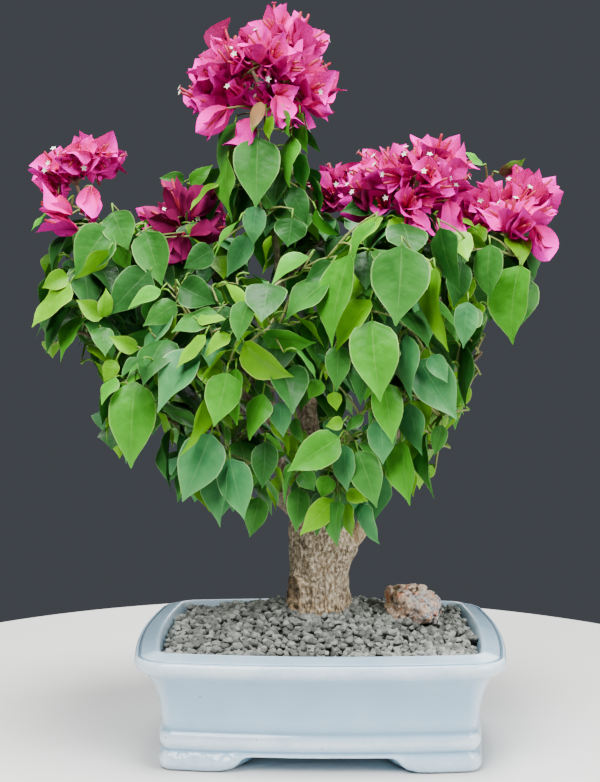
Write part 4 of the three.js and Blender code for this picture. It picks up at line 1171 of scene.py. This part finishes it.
def limb_mesh(name, line, sides, rows, radius_at, relief):
    """A limb as a closed sleeve along a line, with the bark's relief raised on it"""
    centres = line.at(np.linspace(0, 1, rows + 1))
    frames = ring_frames(centres)
    bm, places = sleeve(sides, rows, "wear_and_crown_shade")
    layer = bm.verts.layers.float["wear_and_crown_shade"]
    for vert, turn, part in places:
        row = round(part * rows)
        side, other = frames[row]
        angle = 2 * math.pi * turn
        outward = math.cos(angle) * side + math.sin(angle) * other
        point = centres[row] + outward * radius_at(part, outward)
        raised, vert[layer] = relief(Vector(point), outward)
        vert.co = point + outward * raised
    return mesh_of(bm, name)


def trunk_radius(part, outward):
    """The trunk's radius, swollen below each limb that leaves it and closed at its healed end"""
    parts, radii = zip(*TRUNK_RADII)
    around = np.clip(part + np.linspace(-TRUNK_EASE, TRUNK_EASE, EASE_SAMPLES), 0, 1)
    radius = float(np.interp(around, parts, radii).mean())
    for name, swell in FORK_SWELL.items():
        _, _, leaves, _, _, bends = next(bough for bough in BOUGHS if bough[0] == name)
        towards = unit((np.array(bends[0]) - LIMBS["trunk"].at(leaves)) * (1, 1, 0))
        facing = max(0, float(np.dot(outward, towards)))
        radius += swell * facing ** 3 * math.exp(-((part - leaves - FORK_ABOVE) / FORK_LONG) ** 2)
    closing = max(0, (part - TRUNK_END) / (1 - TRUNK_END))
    return radius * math.sqrt(1 - TRUNK_CLOSE * closing ** 2)


def trunk_relief(point, outward):
    """Flutes, corky ridges, shreds at the foot and an aged scar, and how much wear the bark shows, below 0
    with painted crown shade
    """
    grain = Vector((point.x, point.y, point.z * GRAIN_STRETCH))
    low = max(0, 1 - (point.z - GROUND) / SHRED_HEIGHT)
    shreds = low * (waves(grain, SHRED_GRAIN_WAVES) + waves(point, SHRED_WAVES))
    heading = math.atan2(outward[1], outward[0])
    aside = (heading - SCAR_HEADING + math.pi) % (2 * math.pi) - math.pi
    far = math.hypot(aside / SCAR_WIDTH, (point.z - SCAR_HEIGHT) / SCAR_TALL)
    lip = math.exp(-((far - LIP_AT) / LIP_WIDE) ** 2)
    scar = LIP_HEIGHT * lip - SCAR_DEPTH * math.exp(-(far / SCAR_FLOOR) ** 4)
    raised = waves(point, TRUNK_WAVES) + waves(grain, GRAIN_WAVES) + shreds + scar
    wear_and_crown_shade = WORN_FOOT * low + WORN_LIP * lip + waves(point, WORN_WAVES) - WORN_LESS
    # Painted shade of the crown darkens the bark between these heights
    in_crown = min(1, max(0, (point.z - CROWN_SHADE[0]) / (CROWN_SHADE[1] - CROWN_SHADE[0])))
    return raised, min(1, max(0, wear_and_crown_shade)) * (1 - in_crown) - in_crown


def bough_relief(point, outward):
    """A bough's low, even bark, with no wear and no painted shade"""
    return waves(point, BOUGH_WAVES), 0


def arched(start, end, rise):
    """A line between two points whose middle is lifted"""
    return Line([start, (np.asarray(start) + np.asarray(end)) / 2 + UP * rise, end])


def bough_line(parent, leaves, tip, shape):
    """A bough's line from its parent to its tip, through its bends or over its arch"""
    start = LIMBS[parent].at(leaves)
    if isinstance(shape, list):
        return Line([start, *shape, tip])
    return arched(start, tip, shape)


def make_limbs(trunk_bark, bough_bark, pale_bark):
    """The trunk and each bough, flared where it leaves its parent"""
    mesh = limb_mesh("trunk_bark", LIMBS["trunk"], TRUNK_SIDES, TRUNK_ROWS, trunk_radius, trunk_relief)
    add_piece("trunk_bark", mesh, [trunk_bark], ["trunk"])
    for name, parent, leaves, radii, tip, shape in BOUGHS:
        line = bough_line(parent, leaves, tip, shape)
        LIMBS[name] = line
        flare_length = LIMB_FLARE_LENGTH if name == PALE_BOUGH else FLARE_LENGTH

        def radius_at(part, outward):
            flare = BOUGH_FLARE * math.exp(-part * line.length / flare_length)
            return mix(radii, part ** BOUGH_TAPER) * (1 + flare)

        rows = round(line.length / BOUGH_STEP)
        mesh = limb_mesh(f"{name}_bark", line, BOUGH_SIDES, rows, radius_at, bough_relief)
        finish = pale_bark if name == PALE_BOUGH else bough_bark
        add_piece(f"{name}_bark", mesh, [finish], [f"{name}_bough"])


# Foliage: what has grown so far, so that a new leaf can be tried against it


class Leaf(NamedTuple):
    """One leaf: where its petiole leaves the twig, its base, the ways its tip and face point, size, tone"""

    root: np.ndarray
    base: np.ndarray
    axis: np.ndarray
    face: np.ndarray
    length: float
    width: float
    tone: str

    def samples(self):
        side = np.cross(self.axis, self.face)
        along, across = np.array(LEAF_SAMPLES).T[:, :, None]
        return self.base + self.axis * along * self.length + side * across * self.width / 2


class Room:
    """Points on all that has grown, to keep a new leaf clear of them"""

    def __init__(self):
        self.points = np.empty((ROOM_POINTS, 3))
        self.count = 0

    def take(self, points):
        self.points[self.count:self.count + len(points)] = points
        self.count += len(points)

    def near(self, middle, reach):
        points = self.points[:self.count]
        return points[np.abs(points - middle).max(axis=1) < reach]


LEAVES = []
TWIGS = Joined()
BROWN, GREEN = 0, 1
TAKEN = Room()
SHOWN = []


def shown_leaf(base_pixel, tip_pixel, wide, front, tone):
    """A leaf as the photo shows it, its face towards the camera or turned on edge"""
    base = seen_at(base_pixel, front)
    tall = math.dist(base_pixel, tip_pixel)
    tip = seen_at(tip_pixel, front)
    tip[1] -= SHOWN_LEAN * np.linalg.norm(tip - base)
    length = np.linalg.norm(tip - base)
    axis = (tip - base) / length
    ratio = abs(wide) / tall
    turned = ratio < SHOWN_LEAST
    turn = math.copysign(math.acos(ratio / SHOWN_RATIO), wide) if turned else 0
    front_face = unit(-VIEW_AHEAD + axis * axis.dot(VIEW_AHEAD))
    face = front_face * math.cos(turn) + np.cross(axis, front_face) * math.sin(turn)
    back, behind, up = SHOWN_PETIOLE
    root = base - axis * PETIOLE * back - front_face * PETIOLE * behind + UP * PETIOLE * up
    width = length * (SHOWN_RATIO if turned else ratio)
    SHOWN.append((np.array(base_pixel), np.array(tip_pixel), abs(wide), base[1]))
    return Leaf(root, base, axis, face, length, width, tone)


def hides_shown(points):
    """True where a point would stand in front of a leaf that the photo shows"""
    pixels = pixels_of(points)
    for base, tip, wide, depth in SHOWN:
        axis = (tip - base) / math.dist(base, tip)
        off = pixels - (base + tip) / 2
        along = off @ axis / (math.dist(base, tip) / 2)
        across = off @ np.array((-axis[1], axis[0])) / (wide / 2)
        over = np.hypot(along, across) < SHOWN_MARGIN
        if (over & (points[:, 1] < depth + SHOWN_CLEAR)).any():
            return True
    return False


def fits(leaf, centre, half):
    """True where a leaf keeps to its mass's space and the crown's outline, and clear of all that stands"""
    tip = leaf.base + leaf.axis * leaf.length
    if np.linalg.norm((tip - centre) / (np.array(half) + LEAF_REACH)) > 1:
        return False
    points = leaf.samples()
    if not inside(CROWN_OUTLINE, pixels_of(points)).all():
        return False
    near = TAKEN.near(points.mean(axis=0), leaf.length)
    if len(near) and np.linalg.norm(points[:, None] - near[None], axis=2).min() < LEAF_ROOM:
        return False
    return not hides_shown(points)


def hang(leaf):
    """Keeps a leaf, and the room that it takes"""
    LEAVES.append(leaf)
    TAKEN.take(leaf.samples())


def twig_line(start, end):
    """A twig's line, arched by its length"""
    return arched(start, end, TWIG_ARCH * math.dist(start, end))


def add_twig(line, reach, radii, finish):
    """A twig along part of its line; returns the joints that others may leave from"""
    parts = np.linspace(0, reach, max(3, round(line.length * reach / TWIG_STEP)) + 1)
    TWIGS.add_tube(line.at(parts), mix(radii, parts), TWIG_SIDES, finish)
    return [line.at(part * reach) for part in TWIG_JOINTS]


def nearest(points, point):
    """The one of the points that is nearest to the point"""
    return min(points, key=lambda other: math.dist(other, point))


def nearest_behind(points, point):
    """The nearest of the points, those in front of or above the point counted as farther off"""
    def cost(other):
        in_front = BEHIND_COST * max(0, point[1] - other[1])
        return math.dist(other, point) + in_front + BEHIND_COST * max(0, other[2] - point[2])

    return min(points, key=cost)


def try_leaf(draws, root, heading, size, centre, half, tone):
    """Tries a few ways of hanging a leaf round a heading, tip down, until one stands clear"""
    full = draws.of(LEAF_LENGTH) * size
    ratio = draws.of(LEAF_WIDTH)
    for attempt in range(LEAF_TRIES):
        length = full * (1 - LEAF_SHRINK * attempt)
        turn = heading + (draws.next() - 0.5) * (LEAF_SWING[0] + LEAF_SWING[1] * attempt)
        droop = draws.of(LEAF_DROOP)
        flat = np.array((math.cos(turn), math.sin(turn), 0))
        axis = flat * math.cos(droop) - UP * math.sin(droop)
        face = flat * math.sin(droop) + UP * math.cos(droop)
        base = root + flat * PETIOLE * PETIOLE_WAY[0] + UP * PETIOLE * PETIOLE_WAY[1]
        leaf = Leaf(root, base, axis, face, length, length * ratio, tone)
        if fits(leaf, np.array(centre), half):
            hang(leaf)
            return True
    return False


def spread_points(draws, count, centre, half):
    """Points spread through an ellipsoid, each the best of several tries at standing clear of the others"""
    points = []
    for _ in range(count):
        best, best_room = None, -1
        for _ in range(SHOOT_TRIES):
            turn = 2 * math.pi * draws.next()
            rise = 2 * draws.next() - 1
            out = mix((SHOOT_INNER, 1), math.sqrt(draws.next()))
            flat = math.sqrt(1 - rise * rise)
            outward = np.array((flat * math.cos(turn), flat * math.sin(turn), rise))
            point = np.array(centre) + outward * out * np.array(half)
            room = min((np.linalg.norm(other - point) for other in points), default=math.inf)
            if room > best_room:
                best, best_room = point, room
        points.append(best)
    return points


def tone_for(draws, depth, size, age):
    """Young at a shoot's end, darker towards the inside of the crown as painted shade, and on its older,
    upper masses
    """
    if size < YOUNG_SIZE and draws.next() < YOUNG_SHARE:
        return "young"
    pick = draws.next() + INNER_SHADE * (1 - depth) + age
    if pick < AGE_STEPS[0]:
        return "fresh" if draws.next() < FRESH_SHARE else "olive"
    if pick < AGE_STEPS[1]:
        return "mature"
    # Cool paints the sky's sheen, deep the crown's shade
    return "cool" if pick < AGE_STEPS[2] else "deep"


def mass_stem(bough, centre, bloom):
    """The stem that goes on from a bough's tip into its mass, and on into the bloom"""
    root = LIMBS[bough].at(1.0)
    along = LIMBS[bough].heading(1.0)
    heart = root + (np.array(centre) - root) * STEM_HEART
    stops = [root - along, root + along * STEM_KNEE, heart]
    if bloom:
        place, half, _, _ = bloom
        stops.append(np.array(place) + UP * HUB_DEPTH * half[2])
    line = Line(stops)
    parts = np.linspace(0, 1, max(4, round(line.length / TWIG_STEP)) + 1)
    TWIGS.add_tube(line.at(parts), mix(STEM_RADIUS, parts), TWIG_SIDES, BROWN)
    TAKEN.take(line.at(parts))
    return line, heart, [line.at(part) for part in STEM_JOINTS]


def grow_shoots(seed, centre, half, shoots, heart, joints):
    """Leafy shoots through a space, the solids' own and then finer ones, grown from the heart outwards"""
    draws = Draws(seed)
    tips = spread_points(draws, shoots, centre, half)
    tips.sort(key=lambda tip: np.linalg.norm(tip - heart))
    age = UPPER_AGE if centre[2] >= UPPER_LEVEL else LOWER_AGE
    for tip in tips:
        start = nearest(joints, tip)
        line = twig_line(start, tip)
        outward = tip - np.array(centre) + tip - start
        heading = math.atan2(outward[1], outward[0])
        depth = min(1, np.linalg.norm((tip - np.array(centre)) / np.array(half)))
        reach = 0
        for part, side, size in LEAF_STATIONS:
            tone = tone_for(draws, depth * part, size, age)
            if try_leaf(draws, line.at(part), heading + side * LEAF_FAN, size, centre, half, tone):
                reach = max(reach, part)
        if reach:
            joints += add_twig(line, reach, TWIG_RADIUS, GREEN)


def blades(rows, shape):
    """Corners of many blades at once, from base to tip, each bent, swept aside, folded, cupped and rippled"""
    base, axis, face, length, width = (np.array(column) for column in zip(*rows))
    random = np.random.RandomState(shape["rows"])
    draws = [random.uniform(*limits, len(rows)) for limits in shape["ranges"]]
    bend, sway, fold, cup, ripple, phase = draws
    parts = np.linspace(0, 1, shape["rows"] + 1)
    across = np.array(shape["across"])
    at, wide = np.array(shape["outline"]).T
    half = width[:, None] / 2 * np.interp(parts, at, wide)
    angle = bend[:, None] * (parts - STRAIGHT_AT)
    along = axis[:, None] * np.cos(angle)[..., None] - face[:, None] * np.sin(angle)[..., None]
    rise = face[:, None] * np.cos(angle)[..., None] + axis[:, None] * np.sin(angle)[..., None]
    steps = (along[:, 1:] + along[:, :-1]) / 2 * (length / shape["rows"])[:, None, None]
    spine = base[:, None] + np.concatenate([np.zeros_like(along[:, :1]), np.cumsum(steps, axis=1)], axis=1)
    aside = half[:, :, None] * across
    wave = np.sin(parts[None, :, None] * RIPPLE_TURN + phase[:, None, None] + np.sign(across) * RIPPLE_LAG)
    lift = fold[:, None, None] * np.abs(aside) + cup[:, None, None] * aside ** 2 / width[:, None, None]
    lift = lift + ripple[:, None, None] * wave * across ** 2 * half[:, :, None]
    sideways = np.cross(axis, face)[:, None, None]
    swept = aside + ((sway * length)[:, None] * parts ** 2)[..., None]
    points = spine[:, :, None] + sideways * swept[..., None] + rise[:, :, None] * lift[..., None]
    return points.reshape(len(rows), -1, 3)


def blade_net(shape):
    """The faces of one blade, and where each of its corners lies across it and along it"""
    down = np.linspace(0, 1, shape["rows"] + 1)
    along, aside = np.meshgrid(down, (np.array(shape["across"]) + 1) / 2, indexing="ij")
    faces = grid_faces(shape["rows"], len(shape["across"]) - 1)
    return faces, np.stack([aside.ravel(), along.ravel()], axis=1)


def make_leaves(finishes):
    """All leaves in one piece: each blade in its tone, on a thin stalk"""
    faces, flat = blade_net(LEAF_BLADE)
    tones = list(LEAF_TONES)
    joined = Joined()
    parts = np.linspace(0, 1, PETIOLE_ROWS)[:, None]
    for leaf, corners in zip(LEAVES, blades([leaf[1:6] for leaf in LEAVES], LEAF_BLADE)):
        joined.add(corners, faces, tones.index(leaf.tone), flat)
        middle = (leaf.root + leaf.base) / 2
        bow = middle + UP * PETIOLE_BOW[0] * PETIOLE - leaf.axis * PETIOLE_BOW[1] * PETIOLE
        stalk = leaf.root * (1 - parts) ** 2 + bow * 2 * parts * (1 - parts) + leaf.base * parts ** 2
        joined.add_tube(stalk, mix(PETIOLE_RADIUS, parts[:, 0]), PETIOLE_SIDES, len(tones))
    masses = [f"{mass[0]}_mass" for mass in MASSES]
    add_piece("leaves", joined.mesh("leaves"), finishes, masses)


# Blossom

BRACTS = []
TUBES = []
STARS = []


def dome_points(count, centre, half, depth, spread):
    """Points over the top of an ellipsoid, part of the way out, on a spiral of the golden angle"""
    index = np.arange(count)
    cosine = 1 - (index + 0.5) / count * (1 - math.cos(spread))
    sine = np.sqrt(1 - cosine ** 2)
    turn = index * GOLDEN_ANGLE
    outward = np.stack([sine * np.cos(turn), sine * np.sin(turn), cosine], axis=1)
    return np.array(centre) + outward * depth * np.array(half)


def add_floret(draws, base, axis, tone):
    """Three bracts in a cup, each with its tube along it"""
    side = unit(np.cross(axis, FLORET_SLANT))
    other = np.cross(axis, side)
    start = 2 * math.pi * draws.next()
    opening = draws.of(BRACT_OPEN)
    for third in range(3):
        turn = start + third * 2 * math.pi / 3 + BRACT_STRAY * (draws.next() - 0.5)
        radial = side * math.cos(turn) + other * math.sin(turn)
        tilt = opening + BRACT_STRAY * (draws.next() - 0.5)
        length = draws.of(BRACT_LENGTH)
        bract = axis * math.cos(tilt) + radial * math.sin(tilt)
        face = axis * math.sin(tilt) - radial * math.cos(tilt)
        BRACTS.append((base, bract, face, length, length * draws.of(BRACT_WIDTH), tone))
        TAKEN.take(base + bract * length * np.array(BRACT_SAMPLES)[:, None])
        tube = axis * math.cos(TUBE_LEAN) + radial * math.sin(TUBE_LEAN)
        reach = draws.of(TUBE_LENGTH)
        TUBES.append((base, tube, reach))
        if draws.next() < STAR_SHARE:
            STARS.append((base + tube * reach, tube, draws.next()))


def grow_bloom(seed, bloom, line):
    """A dome of florets, lumpy where its bunches stand out, each bunch on one branch of the mass's stem"""
    centre, half, bunches, spread = bloom
    draws = Draws(seed + BLOOM_SEED)
    hub = line.at(1.0)
    behind = BACK_SHADE if centre[1] > BACK_FROM else 0
    joints = dome_points(bunches, centre, half, BUNCH_DEPTH, spread)
    ways = unit((joints - np.array(centre)) / np.array(half))
    for joint in joints:
        add_twig(twig_line(hub, joint), 1, STEM_RADIUS, BROWN)
    for mouth in dome_points(bunches * FLORETS_PER_BUNCH, centre, half, 1, spread):
        outward = (mouth - np.array(centre)) / np.array(half)
        closeness = ways @ outward
        joint = joints[closeness.argmax()]
        lump = mix(BUNCH_LUMP, min(1, max(0, 2 * closeness.max() - 1))) + LUMP_STRAY * (draws.next() - 0.5)
        mouth = np.array(centre) + outward * lump * np.array(half)
        stray = np.array([draws.next() for _ in range(3)]) - 0.5
        axis = unit(unit(mouth - joint) + FLORET_LIFT * UP + FLORET_STRAY * stray)
        base = mouth - axis * mix(BRACT_LENGTH, 0.5) * draws.of(BRACT_REACH)
        add_twig(twig_line(joint, base), 1, STALK_RADIUS, GREEN)
        # Blooms at the back lean to the deep tone, as painted shade
        shade = draws.next() + behind
        tone = "bright" if shade < BLOOM_STEPS[0] else "magenta" if shade < BLOOM_STEPS[1] else "deep"
        add_floret(draws, base, axis, tone)


def add_dry_bract():
    """The dried bract that the photo shows, hanging with its face to the front"""
    base_pixel, tip_pixel, wide, front = DRY_BRACT
    base = seen_at(base_pixel, front)
    axis = seen_at(tip_pixel, front) - base
    length = np.linalg.norm(axis)
    width = length * wide / math.dist(base_pixel, tip_pixel)
    BRACTS.append((base, axis / length, -VIEW_AHEAD, length, width, "dry"))


def make_blossom(bract_finishes, tube_finish, star_finish):
    """All bracts in one piece, and all tubes with their stars in another"""
    masses = [f"{mass[0]}_mass" for mass in MASSES if mass[5]]
    faces, flat = blade_net(BRACT_BLADE)
    tones = list(BRACT_TONES)
    bracts = Joined()
    for bract, corners in zip(BRACTS, blades([bract[:5] for bract in BRACTS], BRACT_BLADE)):
        bracts.add(corners, faces, tones.index(bract[5]), flat)
    add_piece("bracts", bracts.mesh("bracts"), bract_finishes, masses)
    flowers = Joined()
    parts = np.linspace(0, 1, len(TUBE_RADIUS))[:, None]
    for start, way, reach in TUBES:
        flowers.add_tube(start + way * reach * parts, TUBE_RADIUS, TUBE_SIDES, 0)
    corners = 2 * STAR_PETALS
    turns = np.arange(corners) * math.pi / STAR_PETALS
    radius = np.where(np.arange(corners) % 2, STAR_NOTCH, 1.0) * STAR_RADIUS
    petals = np.array([(0, k - 1 or corners, k, k + 1) for k in range(1, corners, 2)])
    for place, way, start in STARS:
        side = unit(np.cross(way, STAR_SLANT))
        other = np.cross(way, side)
        angle = (turns + start * STAR_TURN)[:, None]
        rim = place + radius[:, None] * (np.cos(angle) * side + np.sin(angle) * other) + way * STAR_CUP[1]
        flowers.add(np.vstack([place + way * STAR_CUP[0], rim]), petals, 1)
    add_piece("flower_tubes", flowers.mesh("flower_tubes"), [tube_finish, star_finish], masses)


def make_foliage():
    """Stems and blossom first, then the florets and leaves that the photo shows, then the rest by the rule"""
    for line in LIMBS.values():
        TAKEN.take(line.at(np.linspace(0, 1, round(line.length / LIMB_SAMPLE))))
    stems = {}
    for bough, seed, centre, _, _, bloom in MASSES:
        stems[bough] = mass_stem(bough, centre, bloom)
        if bloom:
            grow_bloom(seed, bloom, stems[bough][0])
    shown_joints = [joint for _, _, joints in stems.values() for joint in joints]
    draws = Draws(len(SHOWN_FLORETS))
    for base_pixel, mouth_pixel, front, tone in SHOWN_FLORETS:
        base = seen_at(base_pixel, front)
        axis = unit(seen_at(mouth_pixel, front) - base)
        add_twig(twig_line(nearest(shown_joints, base), base), 1, STALK_RADIUS, GREEN)
        add_floret(draws, base, axis, tone)
    add_dry_bract()
    for leaf in sorted((shown_leaf(*row) for row in SHOWN_LEAVES), key=lambda leaf: -leaf.root[1]):
        line = twig_line(nearest_behind(shown_joints, leaf.root), leaf.root)
        shown_joints += add_twig(line, 1, TWIG_RADIUS, GREEN)
        hang(leaf)
    fuller = [(*space, round(shoots * SHOOT_MORE)) for *space, shoots, _ in MASSES]
    for bough, seed, centre, half, shoots in fuller + SIDE_SPACES:
        _, heart, joints = stems[bough]
        grow_shoots(seed, centre, half, shoots, heart, joints)


# Stage


def make_stage():
    """The floor"""
    bm = bmesh.new()
    bmesh.ops.create_circle(bm, cap_ends=True, segments=FLOOR_SIDES, radius=FLOOR_RADIUS)
    bmesh.ops.recalc_face_normals(bm, faces=bm.faces)
    mesh = bpy.data.meshes.new("floor")
    bm.to_mesh(mesh)
    bm.free()
    floor = bpy.data.objects.new("floor", mesh)
    bpy.context.scene.collection.objects.link(floor)
    paper, tree, _, _ = material("matt_paper_floor", 0.9)
    tree.nodes["Principled BSDF"].inputs["Base Color"].default_value = linear("DEDDDA")
    mesh.materials.append(paper)


def make_lights():
    """Soft boxes aimed at the middle of the plant, and a faint sky"""
    target = Vector((0, 0, (CAD_BOX[0].z + CAD_BOX[1].z) / 2))
    for index, (place, size, watts) in enumerate(LIGHTS):
        lamp = bpy.data.lights.new(f"softbox_{index}", "AREA")
        lamp.shape = "SQUARE"
        lamp.size = size
        lamp.energy = watts
        holder = bpy.data.objects.new(f"softbox_{index}", lamp)
        holder.location = place
        holder.rotation_euler = (target - Vector(place)).to_track_quat("-Z", "Y").to_euler()
        bpy.context.scene.collection.objects.link(holder)
    world = bpy.data.worlds.new("studio")
    world.use_nodes = True
    sky = world.node_tree.nodes["Background"]
    sky.inputs["Color"].default_value = linear("D4DCEA")
    sky.inputs["Strength"].default_value = SKY_STRENGTH
    bpy.context.scene.world = world


def make_camera():
    """The camera that took the photo"""
    lens = bpy.data.cameras.new("photo_camera")
    lens.sensor_width = SENSOR
    lens.lens = FOCAL_PIXELS * SENSOR / PHOTO_HIGH
    camera = bpy.data.objects.new("photo_camera", lens)
    camera.location = to_frame(CAMERA_PLACE)
    camera.rotation_euler = Vector(VIEW_AHEAD).to_track_quat("-Z", "Y").to_euler()
    bpy.context.scene.collection.objects.link(camera)
    bpy.context.scene.camera = camera


make_stage()
make_lights()
make_camera()
make_pot(fired_glaze())
# Near-black soil: its own dark colour, deepened as painted shade in the gaps between the pebbles
make_bed(plain_skin("dark_soil_and_gap_shade", "1C1B19", 0.9, "34322E"))
# Each finish's first colour is painted shade on a pebble's lower half; the first finish is near-black,
# painted shade in the gaps
make_gravel([
    crushed_gravel("gap_shade_crushed_basalt", "0E0F0D", "1A1B19", "2C2E2B"),
    crushed_gravel("crushed_basalt_mid", "181917", "686B66", "9A9D97"),
    crushed_gravel("crushed_basalt_pale", "1E1F1D", "7E817B", "B6B9B2"),
    crushed_gravel("crushed_basalt_dark", "141513", "50534E", "80837D"),
])
make_stone(weathered_rock())
make_limbs(
    corky_bark("aged_trunk_bark", "42331F", "9A8464", "FFEED2", "CCAA7C"),
    corky_bark("bough_bark", "55483A", "84735E", "AD9F8B", "AD9F8B"),
    corky_bark("young_limb_bark", "7A5C36", "C4A478", "F2E2C4", "F2E2C4"),
)
make_foliage()
make_leaves([
    *[living_leaf(f"{tone}_leaf", *codes) for tone, codes in LEAF_TONES.items()],
    plain_skin("leaf_stalk", "6CA028", 0.5, "5C8C24"),
])
make_blossom(
    [papery_bract(f"{tone}_bract", *codes) for tone, codes in BRACT_TONES.items()],
    plain_skin("flower_tube", "B42238", 0.5, "A01444"),
    plain_skin("white_star", "FBF6EC", 0.55, "F2EAD8"),
)
add_piece(
    "twigs", TWIGS.mesh("twigs"),
    [plain_skin("brown_twig", "7A6A50", 0.75, "5E5140"), plain_skin("green_twig", "98A05C", 0.6, "74803E")],
    [f"{mass[0]}_mass" for mass in MASSES],
)
